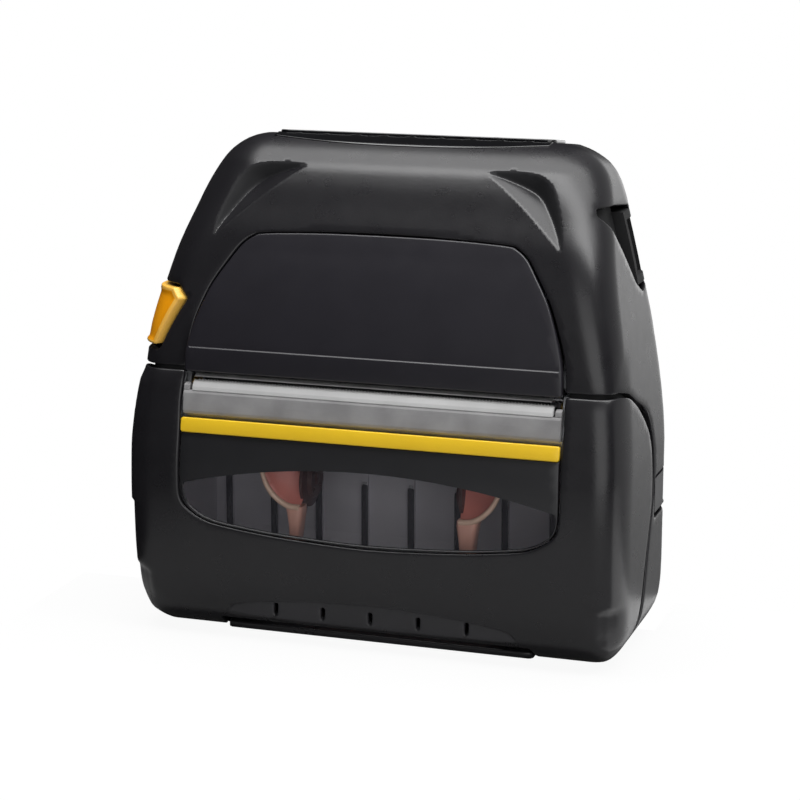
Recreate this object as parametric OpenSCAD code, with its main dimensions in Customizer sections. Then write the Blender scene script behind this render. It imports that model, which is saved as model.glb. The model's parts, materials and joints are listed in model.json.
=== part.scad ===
// Rugged mobile label printer, standing upright.
// +X to the viewer's right, -Y out of the front, +Z up.
// Origin: on the table, under the middle of the bounding box.
// All sizes in millimetres.

/* [Body] */
// Wall thickness of the moulded shells
wall = 2.4; // [2.2:0.1:2.6]
// Gap at the seam between the media door and the housing
seam = 0.8; // [0.6:0.1:1.0]
// How far the upper front cover stands proud at its lower edge
cover_proud = 2.2; // [1.6:0.1:2.4]

/* [Media door] */
// Half width of the window panel, tear bar and front cover
panel_hw = 60; // [59:0.5:60.5]
// Height of the coloured stripe
stripe_h = 4.4; // [3.6:0.2:4.8]
// Thickness of the clear window panel
window_t = 2; // [1.8:0.1:2.2]
// Diameter of the platen roller
platen_d = 12; // [11.2:0.1:12.0]
// Length of the rubber on the platen roller
platen_l = 106; // [96:1:108]

/* [Media guides] */
// Distance of each guide from the middle, as shown
guide_x = 28; // [26:0.5:30]
// Radius of the domed hub on each guide
hub_r = 9.5; // [8.5:0.5:9.5]

/* [Control panel] */
// Width of the glossy control panel
ui_w = 90; // [88:1:92]
// Travel of a key
key_travel = 0.6; // [0.4:0.1:0.8]

/* [Battery] */
// Width of the battery pack
batt_w = 78; // [74:1:80]
// Height of the battery pack
batt_h = 50; // [46:1:50]

/* [Hidden] */
$fn = 48;
H = 153.6;
NC = 5;

// body half width, front face and back face against height
w_tab = [[0,73.3],[2.5,75],[6,77.2],[9,78.6],[12,79.3],[18,79.6],[60,79.6],[68,79.2],[76,78.4],[84,77.3],[94,75.6],[100,74.5],[111,72],[120,70],[130,67.5],[138,65.4],[144,63],[148,60.2],[150.6,57],[152.4,53.6],[153.6,50]];
f_tab = [[0,-18],[2.5,-22.5],[5.2,-26],[8.7,-29],[14,-31],[20,-32],[32,-33.2],[45,-33.5],[56,-33],[68,-31.3],[76,-29.6],[81,-28.2],[84.5,-26.6],[91,-25.6],[100,-23.8],[110,-20.8],[118,-17.8],[125,-14.6],[134,-9.4],[142,-4.6],[146,-1.6],[149,2.2],[151.4,6.6],[153,11],[153.6,14.5]];
b_tab = [[0,22],[2.5,26],[6,29],[10,31],[16,32.7],[24,33.5],[142,33.5],[148,33.4],[151,32.9],[153.6,32]];
rf_tab = [[0,4],[8,5],[80,5],[86,7],[96,9],[118,11],[134,15],[144,17],[149,14],[152,10],[153.6,7]];
rb_tab = [[0,7],[12,10],[142,10],[150,8],[153.6,6]];
levels = [0,2.5,5.2,8.7,12,16,22,32,45,56,68,76,81,84.5,91,100,110,118,125,134,139,143,146,148,150,151.4,152.5,153.6];

// door hinge axis (y, z)
hy = -22;
hz = 10;
// platen axis
py = -21;
pz = 77.5;
// latch shaft axis and catch pin
ly = 0.5;
lz = 78;
cy = -12;
cz = 70.5;
// printhead pivot
ky = -8;
kz = 88;
// contact direction of the printhead, seen from the platen axis
nd = 60;
// gear train
gm = 0.7;
pa = 25;
z_pl = 16;
z_id = 34;
z_mo = 12;
iy = -10.52;
iz = 91.5;
my = 5.27;
mz = 94.68;
gx0 = 61.8;
gx1 = 65.8;
// rack and pinion of the guides
rm = 0.8;
rz = 12;
rpy = -3;
rz0 = 9.5;
rz1 = 12.5;
// hub axis of the guides
gy = -9.5;
gz = 48;
// control panel plane
uy = 14.5;
uz = 153.6;
ut = 7.6;

// side outline of the media door, seen along X: y, z
d_pts = [[-21.5,84.2],[-15.5,82.8],[-9.5,79.8],[-5.2,77],[-1.5,74],[3.7,68.9],[6,65],[7.6,60],[8.9,52],[8.3,44],[4.9,36],[0.5,25.5],[-3,17],[-7.5,8],[-13,0]];

// ---------- helpers ----------
function clampf(v, a, b) = max(a, min(b, v));
function arc_pts(cx, cy, r, a0) = [for (k = [0:NC]) let(a = a0 + 90 * k / NC) [cx + r * cos(a), cy + r * sin(a)]];
// one horizontal outline of the body, t inside the outer skin, p proud at the front
function ring(z, t, p) =
    let(q = z + (t > 0 ? t * clampf((z - 45) / 40, -1, 1) : 0),
        zz = clampf(q, 0, H),
        w = lookup(zz, w_tab) - t,
        f = lookup(zz, f_tab) + t - p * clampf((121 - z) / 28, 0, 1),
        b = lookup(zz, b_tab) - t,
        r1 = max(lookup(zz, rf_tab) - t, 2),
        r2 = max(lookup(zz, rb_tab) - t, 2))
    concat(arc_pts(w - r2, b - r2, r2, 0), arc_pts(-w + r2, b - r2, r2, 90),
           arc_pts(-w + r1, f + r1, r1, 180), arc_pts(w - r1, f + r1, r1, 270));
module loft(zs, t, p = 0) {
    n = 4 * (NC + 1);
    m = len(zs);
    pts = [for (z = zs) for (q = ring(z, t, p)) [q[0], q[1], z]];
    sides = [for (i = [0:m - 2]) for (j = [0:n - 1]) let(a = i * n + j, b = i * n + (j + 1) % n, c = (i + 1) * n + (j + 1) % n, d = (i + 1) * n + j) each [[a, d, c], [a, c, b]]];
    polyhedron(points = pts, faces = concat([[for (j = [0:n - 1]) j]], [[for (j = [n - 1:-1:0]) (m - 1) * n + j]], sides));
}
module yz(x0, x1) rotate([90, 0, 90]) translate([0, 0, x0]) linear_extrude(x1 - x0) children();
module xz(y0, y1) translate([0, y1, 0]) rotate([90, 0, 0]) linear_extrude(y1 - y0) children();
module xcyl(x0, x1, y, z, r) translate([x0, y, z]) rotate([0, 90, 0]) cylinder(r = r, h = x1 - x0);
module both() { children(); mirror([1, 0, 0]) children(); }
module bx(a, b) translate(a) cube([b[0] - a[0], b[1] - a[1], b[2] - a[2]]);

module ui_cut(d) yz(-90, 90) polygon([[uy - 40, uz + 40], [uy - 40, uz - d], [uy, uz - d], [uy + 40, uz - d - 40 * tan(ut)], [uy + 40, uz + 40]]);
module outer(p = 0) difference() {
    loft(levels, 0, p);
    ui_cut(0);
}
module inner(t = wall) difference() {
    loft([for (z = levels) t + z * (H - 2 * t) / H], t);
    ui_cut(t);
}
module shell() difference() { outer(); inner(); }
module d_region(g) yz(-90, 90) polygon(concat([for (p = d_pts) let(v = [p[0] - hy, p[1] - hz], r = norm(v)) [hy + v[0] * (1 + g / r), hz + v[1] * (1 + g / r)]], [[-14.5 + g, -2], [-60, -2], [-60, 84.2 + g]]));

// placed on the control panel: x, distance back from its front edge, height above it
module on_ui(x, v, h = 0) translate([0, uy, uz]) rotate([-ut, 0, 0]) translate([x, v, h]) children();

// ---------- gears ----------
function invo(a) = tan(a) * 180 / PI - a;
function half_t(m, z, r, bl) = let(rp = m * z / 2, rb = rp * cos(pa)) 90 / z - bl / rp * 90 / PI + invo(pa) - (r > rb ? invo(acos(rb / r)) : 0);
function tooth(m, z, bl, a) = let(rp = m * z / 2, rb = rp * cos(pa), r0 = max(rb, rp - 1.1 * m), ra = rp + 0.95 * m, rr = rp - 1.2 * m, s = [for (k = [0:3]) r0 + (ra - r0) * k / 3])
    concat([[rr, a - half_t(m, z, r0, bl)]], [for (r = s) [r, a - half_t(m, z, r, bl)]], [for (k = [3:-1:0]) [s[k], a + half_t(m, z, s[k], bl)]], [[rr, a + half_t(m, z, r0, bl)]]);
module gear2d(m, z, bl = 0.1, ph = 0) polygon([for (i = [0:z - 1]) for (q = tooth(m, z, bl, ph + i * 360 / z)) [q[0] * cos(q[1]), q[0] * sin(q[1])]]);
// phase of a gear meshing with one whose phase is pa0, along direction d
function mate(d, pa0, za, zb) = d + 180 + 180 / zb + (d - pa0) * za / zb;
d_pi = atan2(iz - pz, iy - py);
d_im = atan2(mz - iz, my - iy);
ph_pl = 0;
ph_id = mate(d_pi, ph_pl, z_pl, z_id);
ph_mo = mate(d_im, ph_id, z_id, z_mo);
module xgear(x0, x1, y, z, m, n, ph, bore) difference() {
    translate([0, y, z]) yz(x0, x1) gear2d(m, n, 0.1, ph);
    xcyl(x0 - 1, x1 + 1, y, z, bore);
}
// rack teeth along X, pitch line at y = 0, teeth towards +Y, a gap at x = 0
module rack2d(m, x0, x1, back) {
    p = PI * m;
    k0 = ceil((x0 + 1.5) / p);
    k1 = floor((x1 - 1.5) / p) - 1;
    hp = p / 4 - 0.05;
    tt = tan(pa);
    polygon(concat([[x0, -back], [x1, -back], [x1, -1.15 * m]],
        [for (k = [k1:-1:k0]) let(c = (k + 0.5) * p) each [[c + hp + 1.15 * m * tt, -1.15 * m], [c + hp - 0.9 * m * tt, 0.9 * m], [c - hp + 0.9 * m * tt, 0.9 * m], [c - hp - 1.15 * m * tt, -1.15 * m]]],
        [[x0, -1.15 * m]]));
}
// coil along X made of one swept tube
module coil(x0, x1, r, wr, turns, y, z) {
    ns = 8; nk = 6; n = turns * ns;
    pts = [for (i = [0:n]) let(a = 360 * i / ns, x = x0 + (x1 - x0) * i / n) for (k = [0:nk - 1]) let(b = 360 * k / nk) [x + wr * sin(b), y + (r + wr * cos(b)) * cos(a), z + (r + wr * cos(b)) * sin(a)]];
    polyhedron(points = pts, faces = concat([[for (k = [0:nk - 1]) k]], [[for (k = [nk - 1:-1:0]) n * nk + k]],
        [for (i = [0:n - 1]) for (k = [0:nk - 1]) let(a = i * nk + k, b = i * nk + (k + 1) % nk, c = (i + 1) * nk + (k + 1) % nk, d = (i + 1) * nk + k) each [[a, d, c], [a, c, b]]]));
}

// ---------- outlines ----------
cover_pts = [[-panel_hw,84.9],[panel_hw,84.9],[panel_hw - 0.4,92],[panel_hw - 2.4,100],[panel_hw - 6.4,110],[panel_hw - 11.4,118],[45.4,122.4],[42,125],[38,126],[20,126.8],[0,127],[-20,126.8],[-38,126],[-42,125],[-45.4,122.4],[-panel_hw + 11.4,118],[-panel_hw + 6.4,110],[-panel_hw + 2.4,100],[-panel_hw + 0.4,92]];
module cover2d(g) scale2(cover_pts, [0, 100], g);
module scale2(pts, c, g) polygon([for (p = pts) let(v = p - c, r = norm(v)) c + v * (1 + g / r)]);
win_pts = [[-60,73],[-60.4,50],[-59.4,44],[-56,40.6],[-51,38.2],[-44,36.9],[-30,35.4],[-12,34.4],[0,34.1],[12,34.4],[30,35.4],[44,36.9],[51,38.2],[56,40.6],[59.4,44],[60.4,50],[60,73]];
module win2d(g) scale2([for (p = win_pts) [p[0] * panel_hw / 60, p[1]]], [0, 56], g);
// latch button outline, u along the diagonal, z up
module latch2d(g) scale2([[-47.5,90.2],[-31.8,90.2],[-28.4,105.4],[-31.4,109],[-47.5,109]], [-39, 98], g);
module latch_dir(a, b) rotate([0, 0, -45]) translate([0, b, 0]) rotate([90, 0, 0]) linear_extrude(b - a) children();

// ---------- housings ----------
module lug_cut(g) both() bx([56 - g, 16.2 - g, 111 - g], [90, 30.6, 133 + g]);
module main_housing() color("dimgray") difference() {
    union() {
        intersection() {
            shell();
            bx([-90, -60, -1], [90, 30.2, H + 1]);
        }
        // floor tongue under the hinge line
        bx([-49.5, -20.8, 0], [49.5, -8, 2.2]);
        // blocks that take the screws of the rear housing
        both() {
            bx([59, 17.2, 17], [77.6, 25.3, 23]);
            bx([47, 17.2, 138], [62.6, 25.3, 144]);
        }
    }
    both() for (p = screw_at) translate([p[0], 15, p[1]]) rotate([-90, 0, 0]) cylinder(r = 1.52, h = 20);
    // room for the idler gear
    xcyl(61.2, 66.8, iy, iz, 13);
    for (i = [-1.5:1:1.5]) bx([i * 7 - 2.1, 1.9, -1], [i * 7 + 2.1, 6.1, 3]);
    difference() {
        d_region(seam);
        bx([-49.5, -20.8, -1], [49.5, -8, 2.2]);
    }
    xz(-60, 8) cover2d(0.4);
    xz(-60, -14) polygon([[-panel_hw - 1.2, 60], [panel_hw + 1.2, 60], [panel_hw + 1.2, 86], [-panel_hw - 1.2, 86]]);
    latch_dir(-90, -30) latch2d(0.5);
    panel_cut();
    bx([74, 12.2, 38], [90, 28.8, 51.6]);
    lug_cut(0.3);
    lip(0.15, 2, 0.95);
}
// front lip of the control panel, seen from above
module lip2d(g) polygon([[-44.8 - g, 15.8], [-44.8 - g, 10.6 - g], [-30, 8.2 - g], [-15, 7 - g], [0, 6.7 - g], [15, 7 - g], [30, 8.2 - g], [44.8 + g, 10.6 - g], [44.8 + g, 15.8]]);
module lip(g, up, down) intersection() {
    difference() {
        translate([0, 0, up]) outer();
        translate([0, 0, -down]) outer();
    }
    translate([0, 0, 145]) linear_extrude(12) lip2d(g);
}
module panel_cut() on_ui(0, 0) {
    bx([-ui_w / 2 - 0.2, 1, -1.65], [ui_w / 2 + 0.2, 17, 5]);
    bx([-ui_w / 2 + 0.8, 1.8, -7], [ui_w / 2 - 0.8, 16.2, 5]);
}
screw_at = [[62, 20], [50, 141]];
module rear_housing() color("dimgray") difference() {
    union() {
        intersection() {
            shell();
            bx([-90, 30.5, -1], [90, 60, H + 1]);
        }
        difference() {
            bx([-batt_w / 2 - 3, 17.5, 22], [batt_w / 2 + 3, 31.6, 80]);
            bx([-batt_w / 2 - 1, 18.9, 23.6], [batt_w / 2 + 1, 40, 78.4]);
        }
        both() translate([0, 30.6, 0]) {
            translate([62, -5, 20]) rotate([-90, 0, 0]) cylinder(r = 4, h = 6.5);
            translate([50, -5, 141]) rotate([-90, 0, 0]) cylinder(r = 4, h = 6.5);
        }
        translate([0, 24, 92]) rotate([-90, 0, 0]) cylinder(r = 7, h = 8.5);
    }
    bx([-batt_w / 2 - 0.4, 25, 24], [batt_w / 2 + 0.4, 60, 24.8 + batt_h]);
    bx([-10.4, 27, 24.8 + batt_h - 1], [10.4, 60, 84.4]);
    bx([-13, 28.6, 24.8 + batt_h], [13, 31.05, 84.4]);
    both() for (p = screw_at) {
        translate([p[0], 20, p[1]]) rotate([-90, 0, 0]) cylinder(r = 1.6, h = 30);
        translate([p[0], 30.6, p[1]]) rotate([-90, 0, 0]) cylinder(r = 3, h = 5);
    }
    panel_cut();
    translate([0, 20, 92]) rotate([-90, 0, 0]) cylinder(r = 4, h = 20);
}
module head_cover() color([0.12, 0.12, 0.13]) difference() {
    intersection() {
        difference() { outer(cover_proud); translate([0, 2.3, 0]) outer(cover_proud * 0.6); }
        xz(-60, 6) cover2d(0);
    }
    // lower band, set back behind the edge line
    bx([-panel_hw - 3, -60, 80], [panel_hw + 3, -27, 91.6]);
}

// ---------- control panel ----------
module key_hole(x, v, w, d, g) on_ui(x, v) bx([-w / 2 - g, -d / 2 - g, -8], [w / 2 + g, d / 2 + g, 8]);
lcd_x = -6; lcd_w = 36; lcd_d = 13;
module ui_panel() color([0.05, 0.05, 0.055]) difference() {
    union() {
        on_ui(0, 0) bx([-ui_w / 2, 1.2, -1.6], [ui_w / 2, 16.8, 1]);
        lip(0, 0.3, 0.8);
    }
    key_hole(lcd_x, 9, lcd_w, lcd_d, 0.05);
    for (k = keys) key_hole(k[0], k[1], k[2], k[3], 0.3);
    on_ui(-42.5, 9, -4) cylinder(r = 1.05, h = 8);
}
// x, distance back, width, depth of each key
keys = [[-29.5,12.7,6,5],[-29.5,5.3,6,5],[-37,9,6,6],[39.5,9,6,6],[25.5,13.8,6,3.2],[25.5,4.2,6,3.2],[19.2,9,3.6,6],[31.8,9,3.6,6],[25.5,9,5.6,4.2]];
module key_cap(i) let(k = keys[i]) on_ui(k[0], k[1]) {
    bx([-k[2] / 2, -k[3] / 2, -2.4], [k[2] / 2, k[3] / 2, 1.1]);
    bx([-k[2] / 2 - 0.4, -k[3] / 2 - 0.4, -3], [k[2] / 2 + 0.4, k[3] / 2 + 0.4, -2.2]);
    translate([0, 0, -3.6]) cylinder(r = 1, h = 0.7);
}
module soft_key_upper() color("silver") key_cap(0);
module soft_key_lower() color("silver") key_cap(1);
module feed_key() color("silver") key_cap(2);
module power_key() color("silver") key_cap(3);
module nav_up_key() color("silver") key_cap(4);
module nav_down_key() color("silver") key_cap(5);
module nav_left_key() color("silver") key_cap(6);
module nav_right_key() color("silver") key_cap(7);
module nav_select_key() color("silver") key_cap(8);
module lcd_lens() color([0.2, 0.25, 0.25]) on_ui(lcd_x, 9) bx([-lcd_w / 2, -lcd_d / 2, -0.6], [lcd_w / 2, lcd_d / 2, 0.8]);
module lcd_module() color([0.45, 0.5, 0.45]) on_ui(lcd_x, 9) bx([-lcd_w / 2 + 0.5, -lcd_d / 2 + 0.4, -3.9], [lcd_w / 2 - 0.5, lcd_d / 2 - 0.4, -0.7]);
module status_light() color([0.3, 0.8, 0.4]) on_ui(-42.5, 9, -4.4) cylinder(r = 1, h = 5.2);
module keypad_board() color([0.05, 0.3, 0.15]) on_ui(0, 0) bx([-ui_w / 2 + 1, 2, -6.1], [ui_w / 2 - 1, 16, -4.5]);

// ---------- boards ----------
module main_board() color([0.05, 0.3, 0.15]) {
    bx([-50, 12, 114.5], [50, 13.6, 143]);
    bx([-44, 13.6, 118], [-28, 16.2, 134]);
    bx([-14, 13.6, 116], [6, 18, 124]);
    bx([20, 13.6, 118], [32, 15.6, 130]);
    bx([-20, 9, 128], [-8, 12, 136]);
}
module radio_module() color("gainsboro") bx([36, 13.6, 118], [48, 16.4, 136]);

// ---------- media bucket ----------
module bucket_path(t) polygon([[16.5 - t, 84], [16.5 - t, 24], [15.6 - t, 19.6 + t * 0.3], [12.6, 15.6 + t], [8, 14 + t], [-21, 14 + t], [-21, 40], [-12, 84]]);
module media_bucket() color([0.32, 0.32, 0.34]) difference() {
    union() {
        difference() {
            yz(-70, 70) bucket_path(0);
            yz(-68.2, 68.2) bucket_path(2);
            bx([-80, -40, 66], [80, 14.4, 100]);
            bx([-80, -40, 84], [80, 40, 100]);
        }
        // shelves that carry the frame
        both() bx([56, -15, 64.2], [70, 15, 66]);
        // ribs on the back wall
        for (i = [-4:4]) bx([i * 15.7 - 1, 12.8, 21], [i * 15.7 + 1, 15.5, 66]);
        // hinge knuckles
        both() for (x = [[48, 53.6], [62.4, 68]]) {
            xcyl(x[0], x[1], hy, hz, 3.8);
            yz(x[0], x[1]) polygon([[hy - 1, hz + 3.2], [hy + 3.4, hz - 0.6], [-15.5, 14.6], [-20.6, 14.6]]);
        }
        // boss of the guide pinion
        translate([0, rpy, 9]) cylinder(r = 1.6, h = 6);
        // feet down to the housing floor
        both() for (y = [-2, 8]) bx([60, y - 2, 2.5], [64, y + 2, 15.4]);
    }
    both() xcyl(40, 75, hy, hz, 1.55);
    bx([-62, -11.4, 12], [-9, -7.6, 17]);
    bx([9, 1.6, 12], [62, 5.4, 18]);
}

// ---------- frame, latch, printhead ----------
module chassis() color("gainsboro") difference() {
    union() {
        both() yz(57, 58.8) polygon([[-14, 66.1], [12, 66.1], [14, 70], [14, 112], [-12, 112], [-12, 107], [-15, 102.4], [-15, 84], [-8, 80], [-8, 74], [-14, 70]]);
        bx([-58.8, -12, 110.2], [58.8, 14, 112]);
        // spring seats
        both() translate([32, py, pz]) rotate([nd, 0, 0]) translate([0, 27.8, 3]) rotate([-90, 0, 0]) cylinder(r = 3, h = 8.4);
        // seat of the latch spring
        bx([-63.1, -13.4, 94.6], [-57.4, -12, 101.4]);
        rotate([0, 0, 45]) bx([-54.3, 32.6, 94.6], [-52.8, 38.8, 101.4]);
    }
    xcyl(-80, 80, ly, lz, 2.55);
    xcyl(-80, 80, ky, kz, 1.52);
    xcyl(56, 60, my, mz, 3);
    xcyl(56, 60, iy, iz, 1.52);
}
module latch_shaft() color("gray") {
    xcyl(-70, 70, ly, lz, 2.5);
    both() yz(67, 69.5) polygon([[3, 75], [3.4, 80], [0, 81.2], [-6, 78.4], [-13, 75.4], [-16, 73.4], [-15.6, 69], [-13.8, 69], [-13.8, 72.6], [-9, 73.4], [-4, 73.6]]);
}
module latch_button() color([0.9, 0.6, 0.05]) {
    intersection() {
        difference() {
            translate([-1.1, -1.1, 0]) outer();
            inner(4.2);
        }
        latch_dir(-90, -30) latch2d(0);
    }
}
module latch_spring() color("silver") rotate([0, 0, 45]) coil(-58.7, -54.7, 2.2, 0.4, 2, 35.9, 98);

// printhead in its own frame: x along the contact direction, y along the plate
module head_frame() translate([0, py, pz]) rotate([nd, 0, 0]) children();
module printhead() color("silver") difference() {
    union() {
        head_frame() {
            // y points from the platen axis to the plate, z runs forward and up
            bx([-54, platen_d / 2 + 0.2, -5.6], [54, platen_d / 2 + 1.2, 5.4]);
            bx([-55, platen_d / 2 + 1.2, -5.6], [55, platen_d / 2 + 4.6, 5.4]);
            both() bx([29, platen_d / 2 + 1.2, 0.6], [35, platen_d / 2 + 6.6, 5.4]);
            for (i = [-6:6]) bx([i * 8 - 1, platen_d / 2 + 4.6, -1], [i * 8 + 1, platen_d / 2 + 6.6, 5.4]);
        }
        both() xcyl(44, 52, ky, kz, 3);
        both() yz(44, 52) polygon([[ky - 1, kz + 2.8], [ky + 0.4, kz - 2.9], [-11, 83.5], [-14.4, 86]]);
    }
    xcyl(-80, 80, ky, kz, 1.55);
}
module head_pivot_shaft() color("gray") xcyl(-58.8, 58.8, ky, kz, 1.5);
module head_springs() color("silver") both() translate([32, py, pz]) rotate([nd, 0, 0]) translate([0, 0, 3]) rotate([0, 0, 90]) coil(13.1, 27.3, 1.9, 0.35, 6, 0, 0);

// ---------- drive ----------
module drive_motor() color("gray") {
    difference() {
        union() {
            xcyl(41, 57, my, mz, 11);
            xcyl(56, 59.4, my, mz, 2.9);
            bx([44, my + 6, mz + 7], [54, my + 9, mz + 12]);
        }
        xcyl(46, 60, my, mz, 1.05);
    }
}
module motor_shaft() color("silver") xcyl(46.4, 67.2, my, mz, 1);
module motor_pinion() color("khaki") xgear(gx0, gx1, my, mz, gm, z_mo, ph_mo, 1.04);
module idler_gear() color("ivory") union() {
    difference() {
        xgear(gx0, gx1, iy, iz, gm, z_id, ph_id, 1.54);
        difference() { xcyl(gx1 - 1.4, gx1 + 1, iy, iz, 9.6); xcyl(gx1 - 2, gx1 + 2, iy, iz, 3.4); }
    }
}
module gear_posts() color("silver") {
    xcyl(57.2, 66.4, iy, iz, 1.5);
    xcyl(66.4, 67, iy, iz, 2.4);
}
module platen_gear() color("ivory") xgear(gx0, gx1, py, pz, gm, z_pl, ph_pl, 1.96);
module platen_roller() color([0.15, 0.15, 0.16]) difference() {
    xcyl(-platen_l / 2, platen_l / 2, py, pz, platen_d / 2);
    xcyl(-60, 60, py, pz, 1.96);
}
module platen_shaft() color("silver") xcyl(-62.4, 66.4, py, pz, 1.95);
module platen_bushings() color("goldenrod") both() difference() {
    union() { xcyl(59, 61.6, py, pz, 3); xcyl(58.4, 59.3, py, pz, 4); }
    xcyl(50, 70, py, pz, 2);
}

// ---------- media door ----------
module lens_cut() xz(-60, -20) polygon([[-46, 7.6], [46, 7.6], [40, 11.4], [30, 13.4], [15, 14.6], [0, 15], [-15, 14.6], [-30, 13.4], [-40, 11.4]]);
module door_shell() color([0.16, 0.16, 0.17]) difference() {
    union() {
        intersection() {
            shell();
            d_region(0);
            bx([-90, -60, 0.4], [90, 60, 84.2]);
        }
        // door knuckles
        both() {
            xcyl(54, 62, hy, hz, 3.8);
            bx([54, -28.4, hz - 2.6], [62, hy, hz + 3.4]);
        }
    }
    xz(-60, -14) win2d(0.3);
    bx([-panel_hw - 0.4, -60, 70], [panel_hw + 0.4, -8, 100]);
    // foot line: the front is raised between the feet
    xz(-60, -5) polygon([[-51.5, -1], [51.5, -1], [50, 4.8], [-50, 4.8]]);
    both() {
        xcyl(40, 75, hy, hz, 1.55);
        xcyl(-1, 53.8, hy, hz, 4.3);
        xcyl(62.2, 69, hy, hz, 4.3);
        bx([0, -18.5, -1], [70.6, 20, 14]);
    }
    // room for the platen gear
    xcyl(60.4, 67, py, pz, 6.7);
    // shallow recess along the lower front edge
    difference() {
        lens_cut();
        translate([0, 1.1, 0]) outer();
    }
    for (i = [-2:2]) bx([i * 15.5 - 0.9, -34, 7.2], [i * 15.5 + 0.9, -28.2, 9.4]);
}
module window_panel() color([0.3, 0.3, 0.33, 0.5]) intersection() {
    difference() {
        translate([0, 0.15, 0]) outer();
        inner(window_t + 0.15);
    }
    xz(-60, -14) win2d(0);
    bx([-90, -60, 30], [90, 0, 65.6]);
}
module accent_stripe() color([0.95, 0.75, 0.05]) intersection() {
    difference() {
        translate([0, -0.5, 0]) outer();
        inner(wall - 0.2);
    }
    bx([-panel_hw - 0.2, -60, 65.9], [panel_hw + 0.2, -16, 65.9 + stripe_h]);
}
module door_frame() color("slategray") difference() {
    union() {
        // cross beam behind the stripe
        bx([-59.4, -28.3, 64.5], [59.4, -25.4, 71]);
        // side plates with the catch pins
        both() {
            yz(59.4, 61.2) polygon([[-28, 66.8], [-11, 66.8], [-9.4, 69], [-9.4, 72.6], [-13, 75], [-15, 82], [-17, 83.4], [-23.6, 83.4], [-25.6, 78], [-26.8, 74]]);
            xcyl(60, 70, cy, cz, 1.5);
            bx([57, -28.3, 66.8], [60.2, -26, 71]);
        }
    }
    both() xcyl(56, 64, py, pz, 3);
}
module tear_bar() color("silver") yz(-panel_hw + 0.9, panel_hw - 0.9) polygon([[-30.5, 71.2], [-30.2, 72.6], [-29.2, 77.4], [-28.4, 80.4], [-27.4, 81.4], [-26.8, 81], [-27.6, 79.6], [-28.3, 77], [-29.3, 72.6], [-28.3, 71.6], [-26, 71.6], [-26, 71.2]]);
module hinge_pins() color("silver") both() xcyl(38, 68.4, hy, hz, 1.5);
module door_spring() color("silver") {
    coil(39.6, 46.6, 2.4, 0.4, 6, hy, hz);
    coil(-46.6, -39.6, 2.4, 0.4, 6, hy, hz);
}

// ---------- media guides ----------
// s = -1 left, 1 right; the dome bulges outwards
module guide(s) {
    fy = s < 0 ? rpy - rm * rz / 2 - 3.2 : rpy + rm * rz / 2 + 0.2;
    translate([s * guide_x, 0, 0]) {
        // stem
        hull() {
            bx([-2.3, -21, 18.5], [2.3, -17, 20]);
            bx([-1.6, -20.6, 38], [1.6, -17.4, 40]);
        }
        // arm to the hub
        mirror([s < 0 ? 0 : 1, 0, 0]) {
            yz(-1.6, 1.2) polygon([[-20.6, 37], [-17, 37], [-11, 38.8], [-9, 44], [-12, 50], [-18.4, 46], [-20.6, 41]]);
            difference() {
                translate([1.2, gy, gz]) rotate([0, -90, 0]) rotate_extrude() polygon(concat([[0, 0], [hub_r, 0], [hub_r, 1.2]], [for (k = [1:7]) let(a = k * 12) [hub_r * cos(a), 1.2 + 9.6 * sin(a)]], [[0, 10.8]]));
                translate([-1.2, gy, gz]) rotate([0, -90, 0]) rotate_extrude() polygon(concat([[0, 0], [hub_r - 1.6, 0]], [for (k = [1:6]) let(a = k * 14) [(hub_r - 1.6) * cos(a), 7.2 * sin(a)]], [[0, 7.2]]));
            }
            xcyl(1.2, 4.6, gy, gz, 2);
        }
        // foot and link to the rack
        bx([-4, -22, 16.3], [4, fy + 3, 18.6]);
        bx([-2.4, fy, rz0], [2.4, fy + 3, 17]);
    }
    // rack
    if (s < 0) translate([0, rpy - rm * rz / 2, rz0]) linear_extrude(rz1 - rz0) rack2d(rm, -guide_x - 2, 32, 3.2);
    else translate([0, rpy + rm * rz / 2, rz0]) rotate([0, 0, 180]) linear_extrude(rz1 - rz0) rack2d(rm, -guide_x - 2, 32, 3.2);
}
module guide_left() color([0.8, 0.5, 0.38]) guide(-1);
module guide_right() color([0.8, 0.5, 0.38]) guide(1);
module guide_hub(s) translate([s * guide_x, 0, 0]) mirror([s < 0 ? 0 : 1, 0, 0]) difference() {
    translate([1.5, gy, gz]) rotate([0, 90, 0]) rotate_extrude() polygon([[2.05, 0], [hub_r - 0.6, 0], [hub_r - 0.6, 1], [6.2, 1.6], [5.4, 2.8], [2.05, 2.8]]);
    for (a = [45:90:315]) translate([0, gy, gz]) rotate([a, 0, 0]) bx([0, -0.6, 3.2], [6, 0.6, 4.6]);
}
module guide_hub_left() color([0.72, 0.42, 0.32]) guide_hub(-1);
module guide_hub_right() color([0.72, 0.42, 0.32]) guide_hub(1);
module guide_pinion() color("ivory") translate([0, rpy, rz0]) difference() {
    linear_extrude(rz1 - rz0) gear2d(rm, rz, 0.1, 90);
    translate([0, 0, -1]) cylinder(r = 1.65, h = 8);
}
module media_sensor() color([0.1, 0.1, 0.1]) {
    bx([-16, -8.6, 76.2], [16, -4, 79]);
    translate([0, -8, 77.6]) rotate([90, 0, 0]) cylinder(r = 1, h = 1);
    both() bx([14, -6, 79], [15.6, -4, 110.2]);
}

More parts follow.
